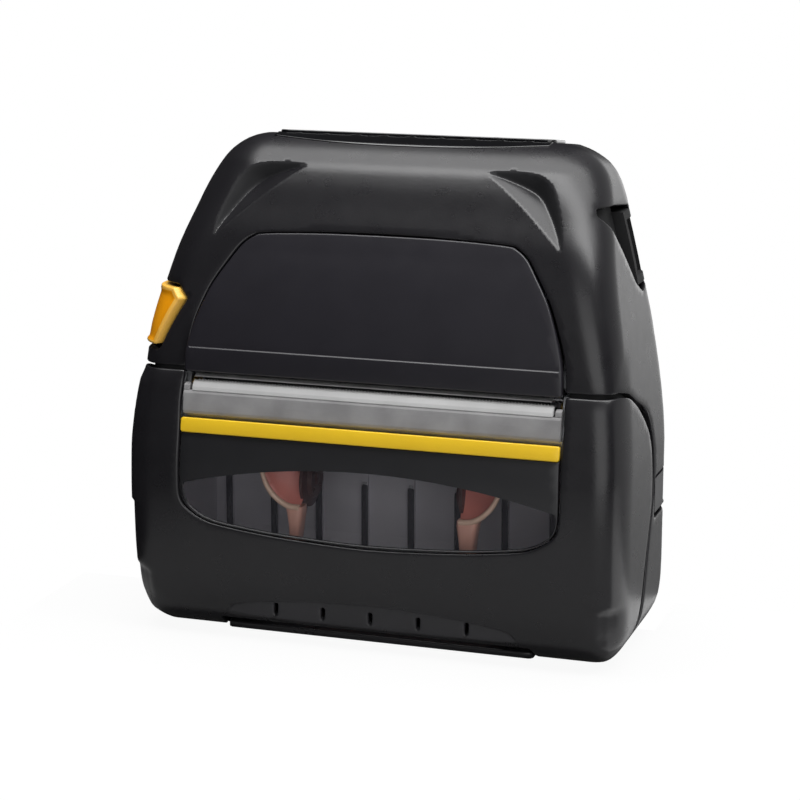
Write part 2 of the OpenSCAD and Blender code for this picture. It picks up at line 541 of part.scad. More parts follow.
// ---------- battery ----------
module battery_pack() color([0.1, 0.1, 0.11]) difference() {
    union() {
        bx([-batt_w / 2, 19.3, 24.4], [batt_w / 2, 33.2, 24.4 + batt_h]);
    }
    for (i = [-1:1]) bx([i * 10 - 2.5, 18, 30], [i * 10 + 2.5, 20.3, 36]);
    bx([-9, 31.4, 24.4 + batt_h - 3], [9, 34, 24.4 + batt_h + 1]);
    for (i = [0:3]) bx([-24, 32.6, 34 + i * 5], [24, 34, 36 + i * 5]);
}
module battery_latch() color([0.35, 0.35, 0.36]) {
    bx([-10, 30.6, 24.4 + batt_h + 0.4], [10, 33, 24.4 + batt_h + 7]);
    bx([-12.5, 29, 24.4 + batt_h + 0.8], [12.5, 30.7, 24.4 + batt_h + 6]);
    for (i = [0:2]) bx([-6, 32.9, 24.4 + batt_h + 1.4 + i * 1.8], [6, 33.4, 24.4 + batt_h + 2.2 + i * 1.8]);
}
module battery_contacts() color("gold") for (i = [-1:1]) bx([i * 10 - 1.5, 18.9, 31], [i * 10 + 1.5, 20, 35]);

// ---------- ports, lugs, fasteners ----------
module port_cover() color([0.13, 0.13, 0.135]) union() {
    intersection() {
        difference() { outer(); inner(1.6); }
        bx([70, 12.6, 40.2], [90, 28.4, 51.2]);
    }
    bx([76.6, 13.4, 42], [78, 27.6, 50]);
    translate([78.2, 13, 40]) rotate([-90, 0, 0]) cylinder(r = 0.9, h = 15);
}
module port_sockets() color([0.5, 0.5, 0.52]) {
    difference() {
        bx([70.4, 13, 38.8], [76, 28.4, 51]);
        translate([71.6, 23.6, 45.4]) rotate([0, 90, 0]) cylinder(r = 2.75, h = 10);
        bx([71.6, 14.2, 43.8], [78, 19.6, 47]);
    }
    translate([71, 23.6, 45.4]) rotate([0, 90, 0]) cylinder(r = 1, h = 4.4);
    bx([71, 15, 45.1], [75, 18.8, 45.7]);
}
module strap_lug(s) mirror([s < 0 ? 1 : 0, 0, 0]) {
    difference() {
        intersection() {
            bx([56, 16.2, 111], [90, 29.8, 133]);
            outer();
        }
        bx([57.8, 17.8, 113.5], [90, 28.4, 130.5]);
    }
    translate([64.2, 23.1, 113]) cylinder(r = 1.2, h = 18);
}
module strap_lug_left() color("gray") strap_lug(-1);
module strap_lug_right() color("gray") strap_lug(1);
module clip_insert() color("goldenrod") translate([0, 24.4, 92]) rotate([-90, 0, 0]) difference() {
    cylinder(r = 3.95, h = 8.9);
    translate([0, 0, 1.2]) cylinder(r = 1.65, h = 9);
}
module dock_contacts() color("gold") for (i = [-1.5:1:1.5]) bx([i * 7 - 2, 2, 0.4], [i * 7 + 2, 6, 2.5]);
module housing_screws() color("silver") both() for (p = screw_at) translate([p[0], 21.3, p[1]]) rotate([-90, 0, 0]) difference() {
    union() {
        cylinder(r = 1.5, h = 10);
        translate([0, 0, 9.4]) cylinder(r = 2.8, h = 1.5);
    }
    translate([0, 0, 9.9]) cylinder(r = 1.3, h = 3, $fn = 6);
}

main_housing();
rear_housing();
head_cover();
ui_panel();
lcd_lens();
lcd_module();
soft_key_upper();
soft_key_lower();
feed_key();
power_key();
nav_up_key();
nav_down_key();
nav_left_key();
nav_right_key();
nav_select_key();
status_light();
keypad_board();
main_board();
radio_module();
media_bucket();
chassis();
latch_button();
latch_shaft();
latch_spring();
printhead();
head_springs();
head_pivot_shaft();
drive_motor();
motor_shaft();
motor_pinion();
idler_gear();
gear_posts();
door_shell();
door_frame();
window_panel();
accent_stripe();
tear_bar();
platen_roller();
platen_shaft();
platen_gear();
platen_bushings();
hinge_pins();
door_spring();
guide_left();
guide_right();
guide_hub_left();
guide_hub_right();
guide_pinion();
media_sensor();
battery_pack();
battery_latch();
battery_contacts();
port_cover();
port_sockets();
strap_lug_left();
strap_lug_right();
clip_insert();
dock_contacts();
housing_screws();
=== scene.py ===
import bpy
import bmesh
import json
import math
from mathutils import Matrix, Vector, noise
from mathutils.geometry import delaunay_2d_cdt


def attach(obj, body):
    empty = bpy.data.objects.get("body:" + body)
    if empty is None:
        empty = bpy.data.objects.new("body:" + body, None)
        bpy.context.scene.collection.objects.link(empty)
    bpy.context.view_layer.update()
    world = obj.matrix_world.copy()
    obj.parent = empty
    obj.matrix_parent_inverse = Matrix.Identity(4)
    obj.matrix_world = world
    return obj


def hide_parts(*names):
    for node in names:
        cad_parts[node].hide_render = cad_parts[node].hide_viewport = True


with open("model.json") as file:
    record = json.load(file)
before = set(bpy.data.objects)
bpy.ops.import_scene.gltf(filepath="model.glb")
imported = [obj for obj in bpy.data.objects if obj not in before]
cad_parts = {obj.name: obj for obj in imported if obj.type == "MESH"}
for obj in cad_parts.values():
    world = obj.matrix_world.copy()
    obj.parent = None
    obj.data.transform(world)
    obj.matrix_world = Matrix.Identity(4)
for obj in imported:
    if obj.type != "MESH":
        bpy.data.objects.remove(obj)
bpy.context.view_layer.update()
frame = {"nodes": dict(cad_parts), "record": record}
NODES = frame["nodes"]
SC = bpy.context.scene
MM = 0.001


# ------------------------------------------------------------------ small maths
def pchip(tab):
    """Smooth monotone curve through a table of pairs."""
    xs = [p[0] for p in tab]
    ys = [p[1] for p in tab]
    n = len(xs)
    h = [xs[i + 1] - xs[i] for i in range(n - 1)]
    d = [(ys[i + 1] - ys[i]) / h[i] for i in range(n - 1)]
    m = [d[0]] + [0.0] * (n - 2) + [d[-1]]
    for i in range(1, n - 1):
        if d[i - 1] * d[i] > 0:
            w1 = 2 * h[i] + h[i - 1]
            w2 = h[i] + 2 * h[i - 1]
            m[i] = (w1 + w2) / (w1 / d[i - 1] + w2 / d[i])

    def f(x):
        if x <= xs[0]:
            return ys[0] + m[0] * (x - xs[0])
        if x >= xs[-1]:
            return ys[-1] + m[-1] * (x - xs[-1])
        lo, hi = 0, n - 1
        while hi - lo > 1:
            k = (lo + hi) // 2
            if xs[k] <= x:
                lo = k
            else:
                hi = k
        t = (x - xs[lo]) / h[lo]
        t2, t3 = t * t, t * t * t
        return ((2 * t3 - 3 * t2 + 1) * ys[lo] + (t3 - 2 * t2 + t) * h[lo] * m[lo]
                + (-2 * t3 + 3 * t2) * ys[lo + 1] + (t3 - t2) * h[lo] * m[lo + 1])
    return f


def clamp(v, a, b):
    return max(a, min(b, v))


def sstep(a, b, x):
    t = clamp((x - a) / (b - a), 0.0, 1.0)
    return t * t * (3 - 2 * t)


# ------------------------------------------------------------------ body surface
H = 153.6
UY, UZ, UT = 14.5, 153.6, math.radians(7.6)
HY, HZ = -22.0, 10.0
PY, PZ = -21.0, 77.5
_W = pchip([(0, 73.3), (2.5, 75), (6, 77.2), (9, 78.6), (12, 79.3), (18, 79.6), (60, 79.6), (68, 79.2), (76, 78.4), (84, 77.3), (94, 75.6), (100, 74.5), (111, 72), (120, 70), (130, 67.5), (138, 65.4), (144, 63), (148, 60.2), (150.6, 57), (152.4, 53.6), (153.6, 50)])
_F = pchip([(0, -18), (2.5, -22.5), (5.2, -26), (8.7, -29), (14, -31), (20, -32), (32, -33.2), (45, -33.5), (56, -33), (68, -31.3), (76, -29.6), (81, -28.2), (84.5, -26.6), (91, -25.6), (100, -23.8), (110, -20.8), (118, -17.8), (125, -14.6), (134, -9.4), (142, -4.6), (146, -1.6), (149, 2.2), (151.4, 6.6), (153, 11), (153.6, 14.5)])
_B = pchip([(0, 22), (2.5, 26), (6, 29), (10, 31), (16, 32.7), (24, 33.5), (142, 33.5), (148, 33.4), (151, 32.9), (153.6, 32)])
_R1 = pchip([(0, 5), (8, 7), (20, 8), (84, 8), (90, 8.4), (97, 9.5), (118, 11), (134, 15), (144, 17), (149, 14), (152, 10), (153.6, 7)])
_R2 = pchip([(0, 7), (12, 10), (142, 10), (150, 8), (153.6, 6)])

# v runs up the front of the body by true length
_N = 1600
_ZV = [(0.0, 0.0)]
for _i in range(1, _N + 1):
    _z = H * (1 - (1 - _i / _N) ** 2)
    _z0, _v0 = _ZV[-1]
    _ZV.append((_z, _v0 + math.hypot(_z - _z0, _F(_z) - _F(_z0))))
VTOP = _ZV[-1][1]
CAPV = 5.0


def v_of(z):
    lo, hi = 0, len(_ZV) - 1
    while hi - lo > 1:
        k = (lo + hi) // 2
        if _ZV[k][0] <= z:
            lo = k
        else:
            hi = k
    a, b = _ZV[lo], _ZV[hi]
    return a[1] + (b[1] - a[1]) * (z - a[0]) / (b[0] - a[0])


def z_of(v):
    lo, hi = 0, len(_ZV) - 1
    while hi - lo > 1:
        k = (lo + hi) // 2
        if _ZV[k][1] <= v:
            lo = k
        else:
            hi = k
    a, b = _ZV[lo], _ZV[hi]
    return a[0] + (b[0] - a[0]) * (v - a[1]) / (b[1] - a[1])


# the front corner is round as far as a crease, and the side carries on from there with its own bow
_T = pchip([(0, 1.6), (6, 2.8), (12, 3.2), (78, 3.2), (84, 2.7), (90, 1.2), (97, 0.0), (153.6, 0.0)])
_C = pchip([(0, 52), (8, 44), (14, 42), (78, 42), (84, 46), (90, 64), (97, 90), (153.6, 90)])
TD = 13.0


def dims(z):
    z = clamp(z, 0, H)
    return _W(z), _F(z), _B(z), _R1(z), _R2(z)


def marks(z):
    """Half width, front, back, corner radii, lengths along the outline, start of the side and its taper."""
    w, f, b, r1, r2 = dims(z)
    T = max(0.0, _T(clamp(z, 0, H)))
    th = math.radians(clamp(_C(clamp(z, 0, H)), 0, 90))
    l0 = w - T - r1 * math.sin(th)
    l1 = l0 + r1 * th
    ys = f + r1 * (1 - math.cos(th))
    l2 = l1 + (b - r2) - ys
    l3 = l2 + r2 * math.pi / 2
    return w, f, b, r1, r2, l0, l1, l2, l3, ys, T


def half_len(z):
    m = marks(z)
    return m[8] + (m[0] - m[4])


def ring_xy(u, z):
    w, f, b, r1, r2, l0, l1, l2, l3, ys, T = marks(z)
    s = 1 if u >= 0 else -1
    a = abs(u)
    if a <= l0:
        x, y = a, f
    elif a <= l1:
        t = (a - l0) / r1
        x, y = l0 + r1 * math.sin(t), f + r1 - r1 * math.cos(t)
    elif a <= l2:
        y = ys + (a - l1)
        x = w - T * max(0.0, 1 - (a - l1) / TD) ** 3
    elif a <= l3:
        t = (a - l2) / r2
        x, y = w - r2 + r2 * math.cos(t), b - r2 + r2 * math.sin(t)
    else:
        x, y = (w - r2) - (a - l3), b
    return s * x, y


def shear(y, z):
    return z - sstep(139, 153, z) * max(0.0, y - UY) * math.tan(UT)


CAP_X, CAP_Y0, CAP_Y1 = 45.3, 15.55, 31.4


def base(u, v):
    """Point of the bare body surface in millimetres."""
    if v <= VTOP:
        z = z_of(max(v, 0.0))
        x, y = ring_xy(u, z)
        return Vector((x, y, shear(y, z)))
    x, y = ring_xy(u, H)
    t = clamp((v - VTOP) / CAPV, 0, 1)
    # pull in towards the rectangular opening of the control panel
    k = max(abs(x) / CAP_X, abs(y - 23.4) / 7.95, 1e-6)
    xe, ye = x / k, 23.4 + (y - 23.4) / k
    e = t - 0.12 * t * (1 - t)
    x, y = x + (xe - x) * e, y + (ye - y) * e
    return Vector((x, y, H - max(0.0, y - UY) * math.tan(UT)))


def normal(P, u, v, e=0.25):
    a = P(u + e, v) - P(u - e, v)
    b = P(u, v + e) - P(u, v - e)
    n = a.cross(b)
    return n.normalized() if n.length > 1e-9 else Vector((0, 0, 1))


def u_x(x, z):
    """u of a point at x on the front."""
    w, f, b, r1, r2, l0, l1, l2, l3, ys, T = marks(z)
    a = abs(x)
    s = 1 if x >= 0 else -1
    if a <= l0:
        return x
    return s * min(l1, l0 + r1 * math.asin(clamp((a - l0) / r1, -1, 1)))


def u_y(y, z):
    """u of a point at depth y on the right side."""
    w, f, b, r1, r2, l0, l1, l2, l3, ys, T = marks(z)
    if y < ys:
        return l0 + r1 * math.acos(clamp((f + r1 - y) / r1, -1, 1))
    if y <= b - r2:
        return l1 + (y - ys)
    return l2 + r2 * math.asin(clamp((y - b + r2) / r2, -1, 1))


# ------------------------------------------------------------------ outlines in the (u, v) plane
def fillet(pts, radii, closed=True, n=6):
    """Rounds the corners of a polygon; radii is one number or one per corner."""
    m = len(pts)
    out = []
    for i in range(m):
        r = radii[i] if isinstance(radii, (list, tuple)) else radii
        p = Vector(pts[i])
        if r <= 0 or (not closed and i in (0, m - 1)):
            out.append(p)
            continue
        a = Vector(pts[i - 1]) - p
        b = Vector(pts[(i + 1) % m]) - p
        la, lb = a.length, b.length
        a.normalize()
        b.normalize()
        c = clamp(a.dot(b), -1, 1)
        ang = math.acos(c)
        if ang > math.pi - 0.03:
            out.append(p)
            continue
        t = min(r / math.tan(ang / 2), 0.48 * la, 0.48 * lb)
        rr = t * math.tan(ang / 2)
        cen = p + (a + b).normalized() * (rr / math.sin(ang / 2))
        s0, s1 = p + a * t, p + b * t
        v0, v1 = s0 - cen, s1 - cen
        a0 = math.atan2(v0.y, v0.x)
        da = math.atan2(v1.y, v1.x) - a0
        while da > math.pi:
            da -= 2 * math.pi
        while da < -math.pi:
            da += 2 * math.pi
        k = max(2, int(n * abs(da) / 1.5) + 1)
        for j in range(k + 1):
            q = a0 + da * j / k
            out.append(cen + Vector((math.cos(q), math.sin(q))) * rr)
    return out


def resample(pts, step, closed=True, keep=0.45):
    """Even points along a polyline, keeping its real corners."""
    pts = [Vector(p) for p in pts]
    q = [pts[0]]
    for p in pts[1:]:
        if (p - q[-1]).length > 1e-4:
            q.append(p)
    if closed and (q[0] - q[-1]).length < 1e-4:
        q.pop()
    out = []
    m = len(q)
    for i in range(m if closed else m - 1):
        a, b = q[i], q[(i + 1) % m]
        k = max(1, int(round((b - a).length / step)))
        for j in range(k):
            out.append(a.lerp(b, j / k))
    if not closed:
        out.append(q[-1])
    slim = [out[0]]
    for i in range(1, len(out)):
        if (out[i] - slim[-1]).length > step * keep or i == len(out) - 1 and not closed:
            slim.append(out[i])
    if closed and len(slim) > 3 and (slim[0] - slim[-1]).length < step * keep:
        slim.pop()
    return slim


def area2(pts):
    return sum(pts[i - 1].x * pts[i].y - pts[i].x * pts[i - 1].y for i in range(len(pts))) / 2


def inset(loop, d):
    """Moves a counter-clockwise loop inwards by d."""
    m = len(loop)
    out = []
    for i in range(m):
        a, p, b = loop[i - 1], loop[i], loop[(i + 1) % m]
        e1, e2 = (p - a), (b - p)
        if e1.length < 1e-7 or e2.length < 1e-7:
            out.append(p.copy())
            continue
        n1 = Vector((-e1.y, e1.x)).normalized()
        n2 = Vector((-e2.y, e2.x)).normalized()
        n = n1 + n2
        if n.length < 1e-6:
            n = n1
        n.normalize()
        k = clamp(1 / max(0.35, n.dot(n1)), 1, 1.6)
        out.append(p + n * (d * k))
    return out


def spline(pts, step, closed=False):
    """Catmull-Rom through points."""
    pts = [Vector(p) for p in pts]
    m = len(pts)
    out = []
    rng = range(m) if closed else range(m - 1)
    for i in rng:
        p1, p2 = pts[i], pts[(i + 1) % m]
        p0 = pts[i - 1] if (i > 0 or closed) else p1 * 2 - p2
        p3 = pts[(i + 2) % m] if (i + 2 < m or closed) else p2 * 2 - p1
        k = max(2, int((p2 - p1).length / step))
        for j in range(k):
            t = j / k
            out.append(0.5 * ((2 * p1) + (p2 - p0) * t + (2 * p0 - 5 * p1 + 4 * p2 - p3) * t * t + (3 * p1 - p0 - 3 * p2 + p3) * t ** 3))
    if not closed:
        out.append(pts[-1])
    return out


# ------------------------------------------------------------------ meshes
MATS = {}


def finish_mesh(name, verts, faces, mats, body, midx=None, smooth=True, replaces=(), merge=0.0, sharp=None):
    me = bpy.data.meshes.new(name)
    me.from_pydata([tuple(c * MM for c in v) for v in verts], [], faces)
    if midx:
        me.polygons.foreach_set("material_index", midx)
    if merge or True:
        bm = bmesh.new()
        bm.from_mesh(me)
        if merge:
            bmesh.ops.remove_doubles(bm, verts=bm.verts, dist=merge * MM)
        bmesh.ops.dissolve_degenerate(bm, dist=1e-8, edges=bm.edges)
        loose = [v for v in bm.verts if not v.link_faces]
        if loose:
            bmesh.ops.delete(bm, geom=loose, context="VERTS")
        bmesh.ops.recalc_face_normals(bm, faces=bm.faces)
        bm.to_mesh(me)
        bm.free()
    me.polygons.foreach_set("use_smooth", [smooth] * len(me.polygons))
    if sharp:
        me.set_sharp_from_angle(angle=math.radians(sharp))
    ob = bpy.data.objects.new(name, me)
    SC.collection.objects.link(ob)
    for m in (mats if isinstance(mats, (list, tuple)) else [mats]):
        me.materials.append(MATS[m])
    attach(ob, body)
    if replaces:
        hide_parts(*replaces)
    return ob


def crossings(loops, v):
    xs = []
    for lp in loops:
        m = len(lp)
        for i in range(m):
            a, b = lp[i], lp[(i + 1) % m]
            if (a.y <= v) != (b.y <= v):
                xs.append(a.x + (b.x - a.x) * (v - a.y) / (b.y - a.y))
    xs.sort()
    return xs


def inside(loops, p):
    return sum(1 for x in crossings(loops, p.y) if x > p.x) % 2 == 1


def patch(name, P, outer, holes=(), grid=1.6, thick=2.4, r=0.45, lips=3, feats=(), fine=(), fine_grid=0.7,
          skip=None, mats="charcoal_shell", body="housing", replaces=(), mat_of=None, merge=0.0, back=True, sharp=None, N=None):
    """A shell of even thickness over the part of surface P(u, v) inside outer and outside holes, with rounded edges."""
    nrm = N or (lambda u, v: normal(P, u, v))
    outer = [Vector(p) for p in outer]
    if area2(outer) < 0:
        outer.reverse()
    outer = inset(outer, r) if r and not skip else outer
    hs = []
    for h in holes:
        h = [Vector(p) for p in h]
        if area2(h) > 0:
            h.reverse()
        hs.append(inset(h, r) if r else h)
    if r and skip:
        moved = inset(outer, r)
        outer = [o if skip(o) else q for o, q in zip(outer, moved)]
    loops = [outer] + hs
    pts = []
    edges = []
    for lp in loops:
        k0 = len(pts)
        pts += lp
        edges += [(k0 + i, k0 + (i + 1) % len(lp)) for i in range(len(lp))]
    for f in feats:
        closed, fp = f
        k0 = len(pts)
        pts += [Vector(p) for p in fp]
        edges += [(k0 + i, k0 + i + 1) for i in range(len(fp) - 1)]
        if closed:
            edges.append((k0 + len(fp) - 1, k0))
    # points of the inside, kept off the outlines
    cell = {}
    for p in pts:
        cell.setdefault((int(p.x // grid), int(p.y // grid)), []).append(p)

    def near(x, y, d):
        ix, iy = int(x // grid), int(y // grid)
        for a in (ix - 1, ix, ix + 1):
            for b in (iy - 1, iy, iy + 1):
                for q in cell.get((a, b), ()):
                    if (q.x - x) ** 2 + (q.y - y) ** 2 < d * d:
                        return True
        return False
    lo = Vector((min(p.x for p in outer), min(p.y for p in outer)))
    hi = Vector((max(p.x for p in outer), max(p.y for p in outer)))

    def fill(x0, y0, x1, y1, g, avoid):
        row = 0
        y = y0 + g * 0.5
        while y < y1:
            xs = crossings(loops, y)
            off = (row % 2) * g / 2
            for i in range(0, len(xs) - 1, 2):
                a, b = max(xs[i], x0), min(xs[i + 1], x1)
                k = int(math.floor((a - lo.x - off) / g)) + 1
                x = lo.x + off + k * g
                while x < b:
                    if not near(x, y, 0.62 * g) and not any(c[0] < x < c[2] and c[1] < y < c[3] for c in avoid):
                        pts.append(Vector((x, y)))
                    x += g
            y += g * 0.866
            row += 1
    fill(lo.x, lo.y, hi.x, hi.y, grid, fine)
    for c in fine:
        fill(c[0], c[1], c[2], c[3], fine_grid, ())
    co, _, tris, orig, _, _ = delaunay_2d_cdt(pts, edges, [], 0, 1e-7)
    keep = []
    for t in tris:
        c = (co[t[0]] + co[t[1]] + co[t[2]]) / 3
        if inside(loops, c):
            keep.append(tuple(t))
    verts = []
    faces = []
    midx = []
    nn = []
    for p in co:
        q = P(p.x, p.y)
        n = nrm(p.x, p.y)
        verts.append(q)
        nn.append(n)
    n0 = len(verts)
    if back:
        for q, n in zip(verts[:n0], nn):
            verts.append(q - n * thick)
    for t in keep:
        a, b, c = (co[i] for i in t)
        if (b - a).cross(c - a) < 0:
            t = (t[0], t[2], t[1])
        m = mat_of((a + b + c) / 3) if mat_of else 0
        faces.append(t)
        midx.append(m)
        if back:
            faces.append((t[0] + n0, t[2] + n0, t[1] + n0))
            midx.append(m)
    # border loops in the triangulated numbering
    where = {}
    for i, o in enumerate(orig):
        for k in o:
            where[k] = i
    k0 = 0
    for lp in loops:
        m = len(lp)
        ids = [where[k0 + i] for i in range(m)]
        k0 += m
        rings = [ids]
        flags = [bool(skip and skip(p)) for p in lp]
        dirs = []
        for i in range(m):
            e = lp[(i + 1) % m] - lp[i - 1]
            o2 = Vector((e.y, -e.x)).normalized()
            p = lp[i]
            n = nn[ids[i]]
            d = P(p.x + o2.x * 0.05, p.y + o2.y * 0.05) - P(p.x - o2.x * 0.05, p.y - o2.y * 0.05)
            d = d - n * d.dot(n)
            dirs.append(d.normalized() if d.length > 1e-9 else Vector((0, 0, 0)))
        for k in range(1, lips + 1):
            a = math.pi / 2 * k / lips
            row = []
            for i in range(m):
                q = verts[ids[i]] + dirs[i] * (r * math.sin(a)) - nn[ids[i]] * (r * (1 - math.cos(a)))
                row.append(len(verts))
                verts.append(q)
            rings.append(row)
        if back:
            row = []
            for i in range(m):
                row.append(len(verts))
                verts.append(verts[ids[i]] + dirs[i] * r - nn[ids[i]] * thick)
            rings.append(row)
            rings.append([i + n0 for i in ids])
        mm = [mat_of(p) if mat_of else 0 for p in lp]
        for a, b in zip(rings[:-1], rings[1:]):
            for i in range(m):
                j = (i + 1) % m
                if flags[i] and flags[j]:
                    continue
                faces.append((a[i], b[i], b[j], a[j]))
                midx.append(mm[i])
    return finish_mesh(name, verts, faces, mats, body, midx, True, replaces, merge, sharp)


def loft_solid(name, rows, mats, body, replaces=(), closed=True, caps=True, smooth=True, sharp=None, merge=0.0):
    """Skin over rows of points with the same count."""
    verts, faces = [], []
    n = len(rows[0])
    for rw in rows:
        verts += [Vector(p) for p in rw]
    for i in range(len(rows) - 1):
        for j in range(n if closed else n - 1):
            k = (j + 1) % n
            faces.append((i * n + j, i * n + k, (i + 1) * n + k, (i + 1) * n + j))
    if caps:
        faces.append(tuple(range(n)))
        faces.append(tuple((len(rows) - 1) * n + j for j in range(n - 1, -1, -1)))
    return finish_mesh(name, verts, faces, mats, body, None, smooth, replaces, merge, sharp)


def prism(name, outline, place, depth, r=0.4, seg=3, crown=0.0, **kw):
    """A slab with rounded edges on both faces. outline is a 2D loop, place(x, y, h) gives the point at height h (0..depth)."""
    lp = [Vector(p) for p in outline]
    if area2(lp) < 0:
        lp.reverse()
    rows = []
    for k in range(seg + 1):
        a = math.pi / 2 * k / seg
        q = inset(lp, r * (1 - math.sin(a)))
        rows.append((q, r * (1 - math.cos(a))))
    for k in range(seg + 1):
        a = math.pi / 2 * k / seg
        q = inset(lp, r * (1 - math.cos(a)))
        rows.append((q, depth - r * (1 - math.sin(a))))
    verts, faces = [], []
    n = len(lp)
    for q, h in rows:
        verts += [place(p.x, p.y, h) for p in q]
    for i in range(len(rows) - 1):
        for j in range(n):
            k = (j + 1) % n
            faces.append((i * n + j, i * n + k, (i + 1) * n + k, (i + 1) * n + j))
    faces.append(tuple(range(n - 1, -1, -1)))
    top = (len(rows) - 1) * n
    faces.append(tuple(top + j for j in range(n)))
    return finish_mesh(name, verts, faces, kw["mats"], kw["body"], None, True, kw.get("replaces", ()), 0.0, kw.get("sharp", 40))


def tube(name, path, rad, mats, body, replaces=(), n=12, closed=False):
    """Round bar along a path of points."""
    path = [Vector(p) for p in path]
    rows = []
    up = Vector((0.13, 0.27, 0.95)).normalized()
    for i, p in enumerate(path):
        a = path[max(0, i - 1)]
        b = path[min(len(path) - 1, i + 1)]
        t = (b - a).normalized()
        s = t.cross(up)
        if s.length < 1e-3:
            s = t.cross(Vector((1, 0, 0)))
        s.normalize()
        w = s.cross(t).normalized()
        up = w
        rr = rad(i / (len(path) - 1)) if callable(rad) else rad
        rows.append([p + s * (rr * math.cos(2 * math.pi * k / n)) + w * (rr * math.sin(2 * math.pi * k / n)) for k in range(n)])
    return loft_solid(name, rows, mats, body, replaces, sharp=50)


# ------------------------------------------------------------------ materials
def material(name, color, rough=0.5, metal=0.0, grain=None, bump=0.0, mottle=0.06, mottle_scale=60.0, coat=0.0, coat_rough=0.1,
             spec=0.5, trans=0.0, ior=1.5, alpha=1.0, rough_var=0.08, aniso=None, wear=0.0, sheen=0.0, dust=0.0):
    m = bpy.data.materials.new(name)
    m.use_nodes = True
    nt = m.node_tree
    nt.nodes.clear()
    out = nt.nodes.new("ShaderNodeOutputMaterial")
    b = nt.nodes.new("ShaderNodeBsdfPrincipled")
    nt.links.new(b.outputs[0], out.inputs[0])
    b.inputs["Metallic"].default_value = metal
    b.inputs["IOR"].default_value = ior
    b.inputs["Specular IOR Level"].default_value = spec
    b.inputs["Coat Weight"].default_value = coat
    b.inputs["Coat Roughness"].default_value = coat_rough
    b.inputs["Transmission Weight"].default_value = trans
    b.inputs["Alpha"].default_value = alpha
    if sheen:
        b.inputs["Sheen Weight"].default_value = sheen
    tc = nt.nodes.new("ShaderNodeTexCoord")
    # slow change of colour and gloss over the surface
    n1 = nt.nodes.new("ShaderNodeTexNoise")
    n1.inputs["Scale"].default_value = mottle_scale
    n1.inputs["Detail"].default_value = 4
    nt.links.new(tc.outputs["Object"], n1.inputs["Vector"])
    cr = nt.nodes.new("ShaderNodeValToRGB")
    cr.color_ramp.elements[0].position = 0.3
    cr.color_ramp.elements[1].position = 0.72
    c0 = [max(0.0, c * (1 - mottle)) for c in color]
    c1 = [min(1.0, c * (1 + mottle) + dust) for c in color]
    cr.color_ramp.elements[0].color = (*c0, 1)
    cr.color_ramp.elements[1].color = (*c1, 1)
    nt.links.new(n1.outputs["Fac"], cr.inputs["Fac"])
    col = cr.outputs["Color"]
    if wear:
        # worn edges: paler where the surface turns sharply
        geo = nt.nodes.new("ShaderNodeNewGeometry")
        pr = nt.nodes.new("ShaderNodeValToRGB")
        pr.color_ramp.elements[0].position = 0.53
        pr.color_ramp.elements[1].position = 0.66
        pr.color_ramp.elements[0].color = (0, 0, 0, 1)
        pr.color_ramp.elements[1].color = (wear, wear, wear, 1)
        nt.links.new(geo.outputs["Pointiness"], pr.inputs["Fac"])
        mx = nt.nodes.new("ShaderNodeMix")
        mx.data_type = "RGBA"
        mx.inputs["B"].default_value = (min(1, color[0] * 2.6 + 0.03), min(1, color[1] * 2.6 + 0.03), min(1, color[2] * 2.6 + 0.03), 1)
        nt.links.new(pr.outputs["Color"], mx.inputs["Factor"])
        nt.links.new(col, mx.inputs["A"])
        col = mx.outputs["Result"]
    nt.links.new(col, b.inputs["Base Color"])
    mr = nt.nodes.new("ShaderNodeMapRange")
    mr.inputs["To Min"].default_value = max(0.02, rough - rough_var)
    mr.inputs["To Max"].default_value = min(1.0, rough + rough_var)
    n2 = nt.nodes.new("ShaderNodeTexNoise")
    n2.inputs["Scale"].default_value = mottle_scale * 2.7
    n2.inputs["Detail"].default_value = 3
    nt.links.new(tc.outputs["Object"], n2.inputs["Vector"])
    nt.links.new(n2.outputs["Fac"], mr.inputs["Value"])
    nt.links.new(mr.outputs["Result"], b.inputs["Roughness"])
    if bump:
        bp = nt.nodes.new("ShaderNodeBump")
        bp.inputs["Strength"].default_value = bump
        bp.inputs["Distance"].default_value = 0.0002
        g = nt.nodes.new("ShaderNodeTexNoise")
        g.inputs["Scale"].default_value = grain or 2200
        g.inputs["Detail"].default_value = 3
        g.inputs["Roughness"].default_value = 0.6
        if aniso:
            mp = nt.nodes.new("ShaderNodeMapping")
            mp.inputs["Scale"].default_value = aniso
            nt.links.new(tc.outputs["Object"], mp.inputs["Vector"])
            nt.links.new(mp.outputs["Vector"], g.inputs["Vector"])
        else:
            nt.links.new(tc.outputs["Object"], g.inputs["Vector"])
        nt.links.new(g.outputs["Fac"], bp.inputs["Height"])
        nt.links.new(bp.outputs["Normal"], b.inputs["Normal"])
    MATS[name] = m
    return m


material("charcoal_shell", (0.0125, 0.0120, 0.0140), 0.285, grain=1500, bump=0.10, mottle=0.10, spec=0.5, wear=0.35, rough_var=0.04)
# lighter charcoal for the inside of the recess low on the door: painted light
material("lens_painted_light", (0.030, 0.0292, 0.033), 0.40, grain=1500, bump=0.10, mottle=0.12)
material("cover_plastic", (0.0150, 0.0140, 0.0185), 0.34, grain=1900, bump=0.07, mottle=0.08, wear=0.3, rough_var=0.03)
material("gloss_black", (0.006, 0.006, 0.007), 0.12, grain=500, bump=0.02, coat=0.6, coat_rough=0.06, rough_var=0.03)
material("window_print", (0.016, 0.016, 0.018), 0.34, grain=700, bump=0.02, coat=0.12, coat_rough=0.2, rough_var=0.04)
material("key_rubber", (0.055, 0.055, 0.06), 0.6, grain=1800, bump=0.15)
material("icon_white", (0.75, 0.75, 0.75), 0.5, grain=1500, bump=0.05)
material("lcd_glass", (0.30, 0.34, 0.31), 0.08, trans=0.0, coat=1.0, coat_rough=0.03, grain=300, bump=0.01, rough_var=0.03)
